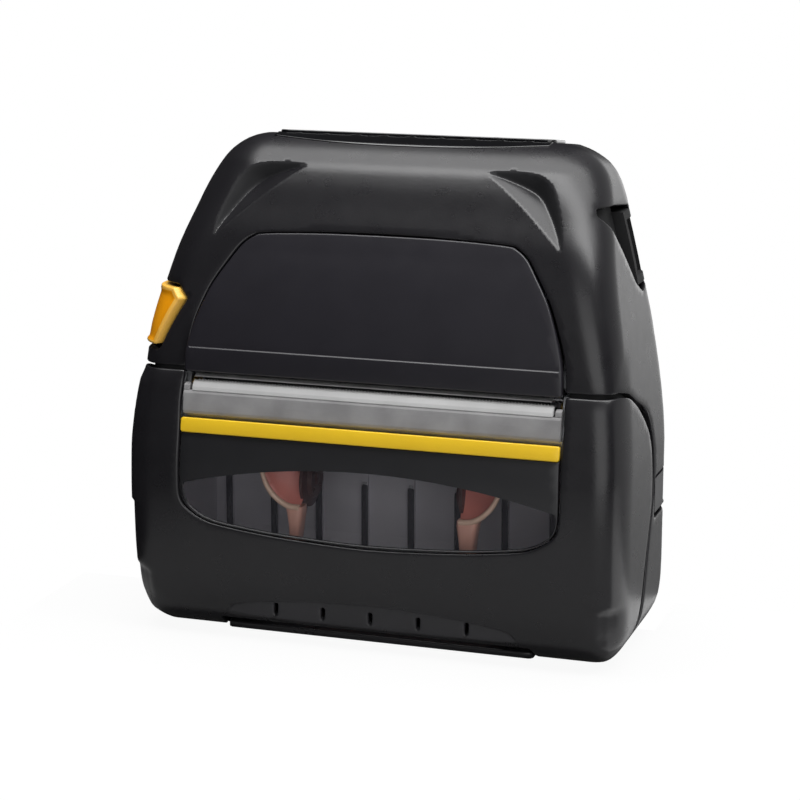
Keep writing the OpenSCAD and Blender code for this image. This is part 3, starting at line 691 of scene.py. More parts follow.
material("lcd_grey", (0.30, 0.34, 0.28), 0.4, grain=4000, bump=0.05)
material("light_pipe", (0.10, 0.45, 0.16), 0.25, grain=800, bump=0.03, coat=0.5)
material("circuit_board", (0.01, 0.085, 0.045), 0.35, grain=900, bump=0.2, mottle=0.25, mottle_scale=260)
material("shield_metal", (0.62, 0.62, 0.63), 0.32, 1.0, grain=900, bump=0.05)
material("bucket_grey", (0.60, 0.585, 0.63), 0.6, grain=900, bump=0.05, mottle=0.08)
# dark copy of the guide colour for arms, pins and hubs: painted shade
material("guide_shade", (0.07, 0.026, 0.022), 0.5, grain=900, bump=0.05)
# near-black copy of the bucket grey for its ribs: painted shade
material("bucket_rib", (0.020, 0.020, 0.024), 0.6, grain=900, bump=0.05)
# pale tips on the ribs: painted highlight
material("bucket_end", (0.40, 0.40, 0.42), 0.5, grain=900, bump=0.05)
material("frame_metal", (0.42, 0.43, 0.45), 0.38, 1.0, grain=700, bump=0.06)
material("steel", (0.58, 0.58, 0.6), 0.24, 1.0, grain=600, bump=0.05, aniso=(1, 14, 14))
material("spring_steel", (0.46, 0.46, 0.48), 0.3, 1.0, grain=2500, bump=0.05)
material("latch_yellow", (0.92, 0.35, 0.004), 0.5, grain=1700, bump=0.08, mottle=0.05, coat=0.0, spec=0.22, wear=0.3)
# paler yellow for the band round the edge of the latch button: painted highlight
material("latch_painted_highlight_rim", (0.95, 0.52, 0.085), 0.36, grain=1700, bump=0.06, mottle=0.04, coat=0.08, wear=0.3)
material("heatsink", (0.52, 0.53, 0.55), 0.36, 1.0, grain=900, bump=0.1, aniso=(0.1, 1, 1))
material("motor_metal", (0.03, 0.03, 0.034), 0.35, grain=1300, bump=0.08)
material("brass", (0.72, 0.50, 0.19), 0.28, 1.0, grain=900, bump=0.05)
material("gear_plastic", (0.62, 0.59, 0.50), 0.45, grain=1500, bump=0.05)
material("window_clear", (0.085, 0.083, 0.10), 0.07, grain=260, bump=0.01, alpha=0.10, ior=1.46, rough_var=0.02, mottle=0.02)
material("stripe_yellow", (0.91, 0.585, 0.023), 0.36, grain=1200, bump=0.04, coat=0.08, coat_rough=0.15, mottle=0.04, spec=0.35)
# pale diffuse grey in place of polished steel along the top of the tear bar: painted highlight
material("tear_steel", (0.54, 0.54, 0.54), 0.44, 0.0, grain=900, bump=0.12, aniso=(0.04, 3, 3), mottle=0.10, rough_var=0.08)
# darker grey copy of the same steel for the lower part of the bar: painted shade
material("tear_base", (0.29, 0.286, 0.29), 0.40, grain=900, bump=0.16, aniso=(0.04, 2.4, 2.4), mottle=0.16, mottle_scale=120, coat=0.2)
material("platen_rubber", (0.018, 0.018, 0.019), 0.62, grain=2600, bump=0.2)
material("guide_copper", (1.0, 0.50, 0.39), 0.34, grain=700, bump=0.04, mottle=0.08, mottle_scale=90, coat=0.35, coat_rough=0.12)
# paler copy of the guide colour for the rim of the cup: painted highlight
material("guide_rim", (0.98, 0.66, 0.50), 0.28, grain=700, bump=0.03, mottle=0.05, mottle_scale=90, coat=0.5, coat_rough=0.10)
# darker copy of the guide colour for the cup: painted shade
material("guide_web", (0.78, 0.25, 0.20), 0.42, grain=700, bump=0.04, mottle=0.12, mottle_scale=90, coat=0.15)
material("sensor_black", (0.012, 0.012, 0.013), 0.4, grain=1500, bump=0.1)
material("battery_black", (0.018, 0.018, 0.02), 0.55, grain=1300, bump=0.28, wear=0.3)
material("contact_gold", (0.83, 0.62, 0.25), 0.2, 1.0, grain=1200, bump=0.04)
material("port_rubber", (0.020, 0.020, 0.021), 0.68, grain=1900, bump=0.22)
material("socket_metal", (0.55, 0.55, 0.57), 0.3, 1.0, grain=900, bump=0.05)
material("screw_black", (0.03, 0.03, 0.032), 0.35, 0.6, grain=1500, bump=0.06)
material("scallop_shadow", (0.016, 0.016, 0.0175), 0.62, grain=1500, bump=0.15, spec=0.25)
# near-black for recesses, gaps and under the body: painted shade
material("seam_dark", (0.006, 0.006, 0.007), 0.7, grain=1500, bump=0.1)

# every CAD node first takes the finish that the record names
SLOT = {s["node"]: s["material_slot"] for s in frame["record"]["subparts"]}
ALIAS = {"window_smoke": "window_clear"}
for nm, ob in NODES.items():
    me = ob.data
    want = MATS[ALIAS.get(SLOT[nm], SLOT[nm])]
    me.materials.clear()
    me.materials.append(want)


# the strap posts in their recess take the near-black: painted shade
for nm in ("strap_lug_left", "strap_lug_right"):
    NODES[nm].data.materials[0] = MATS["seam_dark"]
NODES["port_cover"].data.materials[0] = MATS["charcoal_shell"]
# the hubs take the dark copy of the guide colour: painted shade
for nm in ("guide_hub_left", "guide_hub_right"):
    NODES[nm].data.materials[0] = MATS["guide_shade"]


def soften(nm, width=0.25, angle=28, seg=2):
    """Fine rounding on the edges of a CAD node."""
    ob = NODES[nm]
    ob.data.polygons.foreach_set("use_smooth", [True] * len(ob.data.polygons))
    bv = ob.modifiers.new("edge", "BEVEL")
    bv.width = width * MM
    bv.segments = seg
    bv.limit_method = "ANGLE"
    bv.angle_limit = math.radians(angle)
    bv.harden_normals = True
    bv.use_clamp_overlap = True


# ------------------------------------------------------------------ shapes shared by the shells
SEAM = 1.1
D_PTS = [(-21.5, 84.2), (-15.5, 82.8), (-9.5, 79.8), (-5.2, 77), (-1.5, 74), (3.7, 68.9), (6, 65), (7.6, 60), (8.9, 52), (8.3, 44), (4.9, 36), (0.5, 25.5), (-3, 17), (-7.5, 8), (-13, 0)]
_dcore = spline(D_PTS, 1.0)


def door_side(g):
    """Side outline of the door from its top corner down to the floor, moved out by g. (y, z)"""
    out = []
    for p in _dcore:
        q = Vector((p.x - HY, p.y - HZ))
        out.append(Vector((p.x, p.y)) + q.normalized() * g)
    return out


def uv_side(pts, s=1):
    return [Vector((s * u_y(p.x, clamp(p.y, 0, H)), v_of(clamp(p.y, 0, H)))) for p in pts]


def uv_front(pts):
    return [Vector((u_x(p[0], p[1]), v_of(p[1]))) for p in pts]


COVER = [(60, 84.3), (59.6, 92), (57.6, 100), (53.6, 110), (48.6, 118), (45.4, 122.4), (42, 125), (38, 126), (20, 126.8), (0, 127)]
COVER_R = spline(COVER, 1.0)
COVER_L = [Vector((-p.x, p.y)) for p in reversed(COVER_R[:-1])]
COVER_ALL = COVER_R + COVER_L          # right bottom, over the top, left bottom


def grow(pts, c, g):
    c = Vector(c)
    out = []
    for p in pts:
        q = Vector(p) - c
        out.append(Vector(p) + q.normalized() * g)
    return out


WIN_L = [(-60.2, 66.5), (-60.4, 50), (-59.4, 44), (-56, 40.6), (-51, 38.2), (-44, 36.9), (-30, 35.4), (-12, 34.4), (0, 34.1)]
_wl = spline(WIN_L, 1.0)
WIN_ALL = _wl + [Vector((-p.x, p.y)) for p in reversed(_wl[:-1])]   # left top, down and round, right top

# scallops on the shoulders: inner tip, outer corner, lower tip
SC_IN, SC_LOW = (28.4, 146.0), (55.6, 124.2)


def _sc_outline():
    top = spline([SC_IN, (37.0, 146.5), (45.4, 145.6), (50.0, 142.4), (52.8, 136.8), (54.8, 130.6), SC_LOW], 0.5)
    low = spline([SC_LOW, (51.8, 127.9), (46.8, 132.4), (41.0, 137.2), (34.6, 142.0), SC_IN], 0.5)
    return top, low


_st, _sl = _sc_outline()
SC_TOP = [Vector((u_x(p.x, p.y), v_of(p.y))) for p in _st]
SC_BOT = [Vector((u_x(p.x, p.y), v_of(p.y))) for p in _sl]
SC_LOOP = SC_TOP[:-1] + SC_BOT[:-1]
_SCB = (min(p.x for p in SC_LOOP) - 0.5, min(p.y for p in SC_LOOP) - 0.5, max(p.x for p in SC_LOOP) + 0.5, max(p.y for p in SC_LOOP) + 0.5)


def dist_poly(p, pl):
    best = 1e9
    for i in range(len(pl) - 1):
        a, b = pl[i], pl[i + 1]
        ab = b - a
        t = clamp((p - a).dot(ab) / max(ab.length_squared, 1e-12), 0, 1)
        d = (a + ab * t - p).length_squared
        if d < best:
            best = d
    return math.sqrt(best)


def scallop(u, v):
    a = abs(u)
    if not (_SCB[0] < a < _SCB[2] and _SCB[1] < v < _SCB[3]):
        return 0.0
    p = Vector((a, v))
    if not inside([SC_LOOP], p):
        return 0.0
    di, do = dist_poly(p, SC_BOT), dist_poly(p, SC_TOP)
    d1, d2 = di * 0.58, do * 0.85
    k = 0.25
    h = clamp(0.5 + 0.5 * (d2 - d1) / k, 0, 1)
    return max(0.0, d2 + (d1 - d2) * h - k * h * (1 - h))


# shallow recess near the lower edge of the door
LENS_LOW = resample(uv_front([(46.6, 7.7), (40, 7.2), (20, 6.8), (0, 6.7), (-20, 6.8), (-40, 7.2), (-46.6, 7.7)]), 0.9, closed=False)
LENS_TOP = resample(uv_front([(p.x, p.y) for p in spline([(-46.6, 7.7), (-45.8, 9.9), (-42.5, 11.4), (-34, 13.0), (-24, 14.1), (-12, 14.9), (0, 15.2), (12, 14.9), (24, 14.1), (34, 13.0), (42.5, 11.4), (45.8, 9.9), (46.6, 7.7)], 0.9)]), 0.9, closed=False)
LENS_UV = LENS_TOP[:-1] + LENS_LOW[:-1]


def lens(u, v):
    if abs(u) > 48 or v > v_of(16) or v < v_of(6):
        return 0.0
    p = Vector((u, v))
    if not inside([LENS_UV], p):
        return 0.0
    dt = dist_poly(p, LENS_TOP)
    z = z_of(v)
    return max(0.0, min(1.7 * dt, (_F(6.9) + 0.06 * (z - 6.9) - _F(z)) * 0.95))


def surf(u, v):
    p = base(u, v)
    d = scallop(u, v)
    if d > 0:
        p = p - normal(base, u, v) * d
    return p


def dent(u, v):
    """Scoop in the crease low on both sides, and a slight pad higher on the left."""
    z = z_of(clamp(v, 0.0, VTOP))
    if z > 84:
        return 0.0
    l1 = marks(z)[6]
    a = abs(u)
    d = 0.0
    if 4 < z < 24:
        d += 2.2 * sstep(5.0, 12.0, z) * (1 - sstep(18.4, 22.4, z)) * math.exp(-((a - l1 + 0.6) / 4.6) ** 2)
    if u < 0 and z > 41:
        d -= 0.75 * sstep(41.8, 42.6, z) * (1 - sstep(79, 83, z)) * sstep(l1 - 2.6, l1 - 0.8, a) * (1 - sstep(l1 + 3, l1 + 7, a))
    return d


def dsurf(u, v):
    p = base(u, v)
    d = lens(u, v)
    if d:
        p = p - normal(base, u, v) * d
    d = dent(u, v)
    if d:
        p = p - Vector((0.743 if u > 0 else -0.743, -0.669, 0.0)) * d
    return p


LATCH_OUT = Vector((-1.0, -1.0, 0.0)).normalized()


def surf_n(u, v):
    if v >= VTOP - 0.3:
        return normal(base, u, min(v, VTOP + CAPV - 0.3), 0.25)
    if u < 0:
        b = latch_box()
        d = max(b[0] - u, u - b[2], b[1] - v, v - b[3], 0.0)
        if d < 4.0:
            return normal(base, u, v).lerp(LATCH_OUT, 1 - sstep(0.8, 4.0, d)).normalized()
    a = abs(u)
    if _SCB[0] < a < _SCB[2] and _SCB[1] < v < _SCB[3]:
        return normal(base, u, v)
    return normal(base, u, v)


# ------------------------------------------------------------------ main housing
def lines_z(z0, z1, fu, step=1.2):
    """Points u = fu(z) between two heights, even in v."""
    v0, v1 = v_of(z0), v_of(z1)
    n = max(2, int(abs(v1 - v0) / step))
    out = []
    for i in range(n + 1):
        v = v0 + (v1 - v0) * i / n
        z = z_of(v)
        out.append(Vector((fu(z), v)))
    return out


REAR_Y = 30.3
REAR_Z0, REAR_Z1 = 10.2, 150.4


def find_u(z, value, u0, u1):
    """u between u0 and u1 where (x - y) / sqrt 2 has this value."""
    f = lambda u: (ring_xy(u, z)[0] - ring_xy(u, z)[1]) * 0.70710678 - value
    a, b = u0, u1
    fa = f(a)
    for _ in range(40):
        m = (a + b) / 2
        fm = f(m)
        if (fm > 0) == (fa > 0):
            a, fa = m, fm
        else:
            b = m
    return (a + b) / 2


def latch_uv(g):
    pts = [(-47.5, 90.2), (-31.8, 90.2), (-28.4, 105.4), (-31.4, 109), (-47.5, 109)]
    pts = [Vector(p) for p in pts]
    loop = fillet(pts, [2.0, 1.2, 1.2, 1.2, 2.0])
    loop = inset(resample(loop, 0.8), -g)
    out = []
    for p in loop:
        z = p.y
        m = marks(z)
        out.append(Vector((find_u(z, p.x, -m[7], -(m[5] - 12)), v_of(z))))
    if area2(out) < 0:
        out.reverse()
    return out


def side_rect(y0, z0, y1, z1, r, s=1, step=0.9):
    lp = fillet([(y0, z0), (y1, z0), (y1, z1), (y0, z1)], r)
    lp = resample(lp, step)
    return [Vector((s * u_y(p.x, p.y), v_of(p.y))) for p in lp]


STRAP = [(-3.0, 134.6), (-1.5, 136.6), (8, 136.2), (24, 134.2), (28.9, 131.5), (28.9, 110.7), (20.5, 108.4), (14.5, 112.0), (6.0, 123.5)]


def strap_uv(g, s=1):
    """Opening in the side that runs down and back to the strap post."""
    lp = resample(fillet(STRAP, [1.2, 1.2, 2, 2, 2, 2, 2, 4, 8]), 0.9)
    lp = [Vector((s * u_y(p.x, p.y), v_of(p.y))) for p in lp]
    if area2(lp) < 0:
        lp.reverse()
    return inset(lp, -g) if g else lp


_LB = []


def latch_box():
    """Bounds of the opening for the latch button in the unrolled surface."""
    if not _LB:
        lp = latch_uv(0.6)
        _LB.append((min(p.x for p in lp), min(p.y for p in lp), max(p.x for p in lp), max(p.y for p in lp)))
    return _LB[0]


def main_outline(g):
    """Right half of the outline of the main housing, from the door seam at the floor to the back, up and over."""
    ds = [a.lerp(b, sstep(82, 70, a.y)) for a, b in zip(door_side(SEAM + g), door_side(SEAM + 3.6 + g))]
    ds = [p for p in ds if p.y > 0.05]
    right = []
    # door seam: from the floor up to the top corner, then along the top edge to the cover
    right += list(reversed(uv_side(ds)))
    ztop = 84.2 + SEAM + g
    ucorner = u_y(-21.5, ztop)
    right = [p for p in right if p.y < v_of(ztop) - 0.3]
    right.append(Vector((ucorner, v_of(ztop))))
    right += [Vector((u_x(x, ztop), v_of(ztop))) for x in (68, 66, 64, 62)]
    cov = grow(COVER_R, (0, 100), 0.5 + g)
    cov = [p for p in cov if p.y > ztop + 0.6]
    right.append(Vector((u_x(cov[0].x, ztop), v_of(ztop))))
    right += [Vector((u_x(p.x, p.y), v_of(p.y))) for p in cov]
    return right


def rear_side(g, s=1):
    """Seam of the rear housing on one side, from the lower back centre round to the upper back centre."""
    y = REAR_Y + g
    z0, z1 = REAR_Z0 + g, REAR_Z1 - g
    out = []
    zs = [z0 + (z1 - z0) * i / 60 for i in range(61)]
    # lower edge runs in from the back centre, corner, up the side, corner, back to the centre
    low = [Vector((half_len(z0) - x, v_of(z0))) for x in [i * 2.0 for i in range(0, 31)]]
    side = [Vector((u_y(y, z), v_of(z))) for z in zs]
    top = [Vector((half_len(z1) - x, v_of(z1))) for x in [i * 2.0 for i in range(22, -1, -1)]]
    return low, side, top


def build_main():
    right = main_outline(0.0)
    seam = list(reversed(right))                     # over the cover, down to the floor on the right
    lowf = [Vector((u, 0.0)) for u in [right[0].x + (half_len(0) - right[0].x) * i / 60 for i in range(61)]]
    low, side, top = rear_side(-0.15)
    backc0 = lines_z(0, REAR_Z0 - 0.15, half_len)
    corner = [low[-1], Vector((side[0].x, low[0].y)), side[0]]
    rs = fillet(low[:1] + [Vector((side[2].x + 0.3, low[0].y))] + side[3:-3] + [Vector((side[-3].x + 0.3, top[0].y))] + top[-1:], [0, 5] + [0] * (len(side) - 6) + [5, 0], closed=False)
    backc1 = lines_z(REAR_Z1 + 0.15, H, half_len)
    rim = [Vector((half_len(H), VTOP + CAPV * k / 4)) for k in (1, 2, 3, 4)]
    LH = half_len(H)
    topl = [Vector((LH - 2 * LH * i / 240, VTOP + CAPV)) for i in range(1, 240)]
    half = seam + lowf[1:] + backc0[1:] + rs[1:-1] + backc1 + rim      # from arch top centre to the rim at the back centre
    half = resample(half, 1.3, closed=False)
    mirr = [Vector((-p.x, p.y)) for p in reversed(half)]
    outer = half + topl + mirr
    # drop repeated points
    o2 = [outer[0]]
    for p in outer[1:]:
        if (p - o2[-1]).length > 1e-4:
            o2.append(p)
    if (o2[0] - o2[-1]).length < 1e-4:
        o2.pop()
    holes = [latch_uv(0.6), side_rect(12.2, 38.2, 28.8, 51.8, 1.6)]
    for s in (1, -1):
        holes.append(strap_uv(0.0, s) if s > 0 else side_rect(15.9, 110.7, 28.9, 133.3, 2.2, s))
    eps = 0.02

    def skip(p):
        z = z_of(min(p.y, VTOP))
        return abs(p.x) > half_len(z) - eps
    feats = [(True, resample(SC_LOOP, 0.6)), (True, [Vector((-p.x, p.y)) for p in reversed(resample(SC_LOOP, 0.6))])]
    fine = [_SCB, (-_SCB[2], _SCB[1], -_SCB[0], _SCB[3])]

    def wall(p):
        if abs(p.x) < _SCB[0] or p.y < _SCB[1]:
            return 0
        q = Vector((abs(p.x), p.y))
        if not inside([SC_LOOP], q):
            return 0
        return 1 if dist_poly(q, SC_TOP) * 0.85 < dist_poly(q, SC_BOT) * 0.58 else 0
    return patch("main_housing_shell", surf, o2, holes, grid=1.7, thick=2.4, r=0.5, feats=feats, fine=fine, fine_grid=0.62,
                 skip=skip, N=surf_n, merge=0.003, replaces=("main_housing",), mats=["charcoal_shell", "scallop_shadow"], mat_of=wall, body="housing")


build_main()


def strap_pocket(s):
    """Floor of the strap recess in front of the strap post, in near-black: painted shade in the recess."""
    lp = resample(fillet([(-5.5, 132.0), (-5.0, 138.5), (15.6, 138.0), (15.6, 108.0), (11.0, 113.5), (3.5, 123.0)], [1, 1, 1, 1, 4, 6]), 1.2)
    lp = [Vector((s * u_y(p.x, p.y), v_of(p.y))) for p in lp]
    patch("strap_pocket_" + ("right" if s > 0 else "left"), lambda u, v: base(u, v) - normal(base, u, v) * 3.4, lp, grid=2.2, thick=0.8, r=0.2, lips=2,
          N=lambda u, v: normal(base, u, v), mats="seam_dark", body="housing")


def seam_painted_shade_sheet(s):
    """Near-black sheet behind the seam between the door and the housing: painted shade in the gap."""
    lo = [q for q in door_side(-2.0) if q.y > 1.0]
    hi = [q for q in door_side(SEAM + 5.6) if q.y > 1.0]
    z0, z1 = 84.2 - 2.0, 84.2 + SEAM + 2.0
    a = [q for q in uv_side(hi) if q.y < v_of(z1) - 0.3]
    b = [q for q in uv_side(lo) if q.y < v_of(z0) - 0.3]
    up = [Vector((u_y(-19.0, z1), v_of(z1)))] + [Vector((u_x(x, z1), v_of(z1))) for x in (68, 64, 61.2)]
    dn = [Vector((u_x(x, z0), v_of(z0))) for x in (61.2, 64, 68)] + [Vector((u_y(-20.0, z0), v_of(z0)))]
    lp = list(reversed(a)) + up + dn + b
    lp = resample([Vector((s * p.x, p.y)) for p in lp], 1.3)
    patch("seam_painted_shade_sheet_" + ("right" if s > 0 else "left"), lambda u, v: base(u, v) - normal(base, u, v) * 2.7, lp, grid=2.4, thick=0.7, r=0.2, lips=2,
          N=lambda u, v: normal(base, u, v), mats="seam_dark", body="housing")


strap_pocket(1)
seam_painted_shade_sheet(1)
seam_painted_shade_sheet(-1)


def build_rear():
    low, side, top = rear_side(0.15)

    def q(p):
        z = z_of(p.y)
        return Vector((half_len(z) - p.x, p.y))
    half = fillet(low[:1] + [Vector((side[2].x + 0.3, low[0].y))] + side[3:-3] + [Vector((side[-3].x + 0.3, top[0].y))] + top[-1:], [0, 5] + [0] * (len(side) - 6) + [5, 0], closed=False)
    half = [q(p) for p in half]
    half = resample(half, 1.4, closed=False)
    lp = half + [Vector((-p.x, p.y)) for p in reversed(half[1:-1])]

    def P(a, v):
        z = z_of(clamp(v, 0, VTOP))
        L = half_len(z)
        p = base(L - a if a >= 0 else -(L + a), v)
        return p

    def N(a, v):
        n = normal(P, a, v)
        return n
    zz = lambda x, z: Vector((x, v_of(z)))
    bay = [zz(p.x, p.y) for p in resample(fillet([(-39.6, 23.9), (39.6, 23.9), (39.6, 74.9), (13.4, 74.9), (13.4, 85), (-13.4, 85), (-13.4, 74.9), (-39.6, 74.9)], [2, 2, 2, 1, 3, 3, 1, 2]), 1.2)]
    circ = lambda x, z, r: [zz(x + r * math.cos(2 * math.pi * i / 28), z + r * math.sin(2 * math.pi * i / 28)) for i in range(28)]
    holes = [bay, circ(0, 92, 4.2)]
    for s in (1, -1):
        holes += [circ(s * 62, 20, 3.1), circ(s * 50, 141, 3.1)]
    # the inward direction is the other way round here
    return patch("rear_housing_shell", lambda a, v: P(-a, v), [Vector((-p.x, p.y)) for p in reversed(lp)], holes, grid=1.8, thick=2.4, r=0.5,
                 replaces=("rear_housing",), mats="charcoal_shell", body="housing")


def cad_cut(name, node, co, no, mats, body):
    """The part of a CAD node on one side of a plane, closed at the cut."""
    src = NODES[node]
    bm = bmesh.new()
    bm.from_mesh(src.data)
    bm.transform(src.matrix_world)
    bmesh.ops.bisect_plane(bm, geom=bm.verts[:] + bm.edges[:] + bm.faces[:], dist=1e-7, plane_co=tuple(c * MM for c in co), plane_no=no, clear_outer=True)
    bmesh.ops.holes_fill(bm, edges=[e for e in bm.edges if e.is_boundary], sides=0)
    bmesh.ops.triangulate(bm, faces=bm.faces[:])
    verts = [v.co * 1000.0 for v in bm.verts]
    bm.verts.index_update()
    faces = [tuple(v.index for v in f.verts) for f in bm.faces]
    bm.free()
    return finish_mesh(name, verts, faces, mats, body, merge=0.001, sharp=30)


build_rear()
cad_cut("rear_housing_walls", "rear_housing", (0, 30.4, 0), (0, 1, 0), "charcoal_shell", "housing")


# ------------------------------------------------------------------ door
def door_outline():
    ds = [p for p in door_side(0.0) if p.y > 0.45]
    side = uv_side(ds)                                             # top corner down to the floor
    ztop = 84.2
    pts = []
    pts += [Vector((u_x(x, ztop), v_of(ztop))) for x in (60.45, 62, 64, 66, 68)]
    pts.append(Vector((u_y(-21.5, ztop), v_of(ztop))))
    pts += [p for p in side[1:]]
    # foot
    z0 = 0.4
    uf = pts[-1].x
    pts.append(Vector((u_y(-13.2, z0), v_of(z0))))
    for i in range(1, 20):
        u = u_y(-13.2, z0) + (u_x(50.8, z0) - u_y(-13.2, z0)) * i / 19
        pts.append(Vector((u, v_of(z0))))
    pts.append(Vector((u_x(50.5, 4.2), v_of(4.2))))
    pts.append(Vector((u_x(49.8, 4.9), v_of(4.9))))
    pts.append(Vector((0.0, v_of(4.9))))
    half = pts
    left = [Vector((-p.x, p.y)) for p in reversed(half[:-1])]
    win = grow(WIN_ALL, (0, 56), 0.5)
    winr = [Vector((u_x(p.x, p.y), v_of(p.y))) for p in win]       # left top, round, right top
    loop = half + left + [Vector((-60.9, v_of(75)))] + winr + [Vector((60.9, v_of(75)))]
    return loop


def build_door():
    lp = resample(door_outline(), 1.25, closed=True, keep=0.4)
    notch = []
    for i in range(-2, 3):
        x = i * 15.5
        q = fillet([(x - 0.55, 7.5), (x + 0.55, 7.5), (x + 0.55, 10.6), (x - 0.55, 10.6)], 0.4)
        q = resample(q, 0.4)
        notch.append([Vector((u_x(p.x, p.y), v_of(p.y))) for p in q])
    fine = [(-48, v_of(6.2), 48, v_of(15.8))]
    feats = [(True, LENS_UV)]
    for s in (1, -1):
        for o in (-1.1, -0.35, 0.35, 1.1):
            feats.append((False, [Vector((s * (marks(z)[6] + o), v_of(z))) for z in [3.5 + 77.5 * i / 90 for i in range(91)]]))
        c = s * marks(14)[6]
        fine.append((c - 10, v_of(4.5), c + 9, v_of(23)))
    fine.append((-marks(42)[6] - 6, v_of(40.6), -marks(42)[6] + 4, v_of(44)))
    # the inside of the recess takes the lighter charcoal: painted light
    return patch("door_outer_shell", dsurf, lp, notch, grid=1.7, thick=2.0, r=0.7, feats=feats, fine=fine, fine_grid=0.9,
                 N=lambda u, v: normal(base, u, v), replaces=("door_shell",), mat_of=lambda p: 1 if abs(p.x) < 48 and p.y < v_of(16) and inside([LENS_UV], p) else 0, mats=["charcoal_shell", "lens_painted_light"], body="door")


build_door()


# ------------------------------------------------------------------ window, stripe and tear bar
def front_P(off):
    """Front surface over x and z, moved out by off."""
    def P(x, z):
        zz = clamp(z, 0, H)
        return Vector((x, _F(zz) - off, z))
    return P


def front_N(x, z):
    zz = clamp(z, 0.3, H - 0.3)
    s = (_F(zz + 0.3) - _F(zz - 0.3)) / 0.6
    return Vector((0, -1, s)).normalized()


ARC = lambda x: 57.4 - 0.00213 * x * x
win_top = 65.6
wpts = [p for p in WIN_ALL if p.y < win_top - 0.3]
win_loop = [Vector((wpts[0].x, win_top))] + wpts + [Vector((wpts[-1].x, win_top))]
win_loop = resample(win_loop, 1.2)
arc_line = [Vector((x, ARC(x))) for x in [-59.4 + 118.8 * i / 110 for i in range(111)]]
patch("window_panel_clear", front_P(-0.2), win_loop, grid=2.2, thick=2.0, r=0.35, N=front_N, feats=[(False, arc_line)],
      mats=["window_clear", "window_print"], mat_of=lambda p: 1 if p.y > ARC(p.x) or dist_poly(p, win_loop) < 0.75 else 0, replaces=("window_panel",), body="door")

stripe = resample(fillet([(-60.3, 65.75), (60.3, 65.75), (60.3, 70.25), (-60.3, 70.25)], 0.5), 1.0)
patch("stripe_band", front_P(0.55), stripe, grid=1.6, thick=2.2, r=0.4, N=front_N, replaces=("accent_stripe",), mats="stripe_yellow", body="door")


def extrude_x(name, prof, x0, x1, mats, body, slot, replaces=(), n=2, chamfer=0.25, sharp=35, xs=None):
    """A profile (y, z) drawn along X with eased ends."""
    xs = xs or ([x0, x0 + chamfer] + [x0 + chamfer + (x1 - x0 - 2 * chamfer) * i / n for i in range(1, n)] + [x1 - chamfer, x1])
    prof = [Vector(p) for p in prof]
    if area2(prof) < 0:
        prof.reverse()
    small = inset(prof, chamfer)
    rows = []
    for i, x in enumerate(xs):
        pr = small if i in (0, len(xs) - 1) else prof
        rows.append([(x, p.x, p.y) for p in pr])
    return loft_solid(name, rows, mats, body, replaces, smooth=True, sharp=sharp)


# brushed base of the tear bar, the bright blade above it and an end block on each side; the pale grey of the blade is a
# painted highlight of the steel, the darker grey of the base and end blocks painted shade
extrude_x("tear_bar_base", fillet([(-30.1, 71.15), (-30.35, 72.2), (-29.75, 77.6), (-29.2, 78.4), (-27.6, 78.4), (-26.4, 75), (-26.4, 71.15)], 0.25), -60.1, 60.1, "tear_base", "door", "tear_steel")
bar = fillet([(-29.5, 78.35), (-29.1, 79.6), (-28.3, 80.9), (-27.3, 81.5), (-26.7, 81.2), (-26.9, 79.4), (-27.4, 78.35)], 0.22)
extrude_x("tear_bar_blade", bar, -57.3, 57.5, "tear_steel", "door", "tear_steel", replaces=("tear_bar",))
for sx in (-1, 1):
    extrude_x("tear_bar_end_" + ("left" if sx < 0 else "right"), fillet([(-29.3, 78.3), (-29.0, 80.0), (-27.6, 80.6), (-26.6, 80.4), (-26.6, 78.3)], 0.3), *sorted((sx * 60.1, sx * 58.1)), "tear_base", "door", "tear_steel")
extrude_x("paper_exit_lip", fillet([(-28.0, 82.55), (-28.0, 82.95), (-25.6, 83.5), (-25.4, 82.9), (-26.6, 82.55)], 0.12), -56.8, 56.8, "tear_base", "housing", "tear_steel", chamfer=0.1)


def teeth():
    """Fine teeth along the top edge of the tear bar."""
    verts, faces = [], []
    n = 112
    for i in range(n):
        x0 = -56.0 + i * 1.0
        k = len(verts)
        for (x, y, z) in ((x0, -27.15, 81.15), (x0 + 1.0, -27.15, 81.15), (x0 + 0.5, -27.45, 81.75), (x0, -26.8, 81.05), (x0 + 1.0, -26.8, 81.05), (x0 + 0.5, -26.95, 81.75)):
            verts.append(Vector((x, y, z)))
        faces += [(k, k + 1, k + 2), (k + 3, k + 5, k + 4), (k, k + 2, k + 5, k + 3), (k + 1, k + 4, k + 5, k + 2), (k, k + 3, k + 4, k + 1)]
    return finish_mesh("tear_bar_teeth", verts, faces, "tear_steel", "door", smooth=False)


teeth()


# ------------------------------------------------------------------ head cover
def cover_F(z):
    """Front of the cover, with a fine ledge above its lower band."""
    zz = clamp(z, 0, H)
    f = _F(zz) - 2.2 * clamp((121 - zz) / 28, 0, 1)
    return f - 0.42 * (1 - sstep(91.5, 91.85, z)) + 0.10 * clamp(88 - z, 0, 4)


def cover_P(x, z):
    return Vector((x, cover_F(z), z))


def cover_N(x, z):
    s = (cover_F(z + 0.12) - cover_F(z - 0.12)) / 0.24
    return Vector((0, -1, s)).normalized()


cl = resample([(p.x, p.y) for p in grow(COVER_ALL, (0, 100), 0.0)], 1.1, closed=True)
band_lines = []
for z in (90.4, 90.9, 91.25, 91.45, 91.6, 91.75, 91.9, 92.1, 92.5, 93.0):
    band_lines.append((False, [Vector((x, z)) for x in [-58.6 + 117.2 * i / 96 for i in range(97)]]))
patch("head_cover_shell", cover_P, cl, grid=1.9, thick=2.3, r=0.6, lips=4, N=lambda x, z: Vector((0, -1, 0.30 if z > 95 else 0.14)).normalized(), feats=band_lines, replaces=("head_cover",),
      mats="cover_plastic", body="housing")


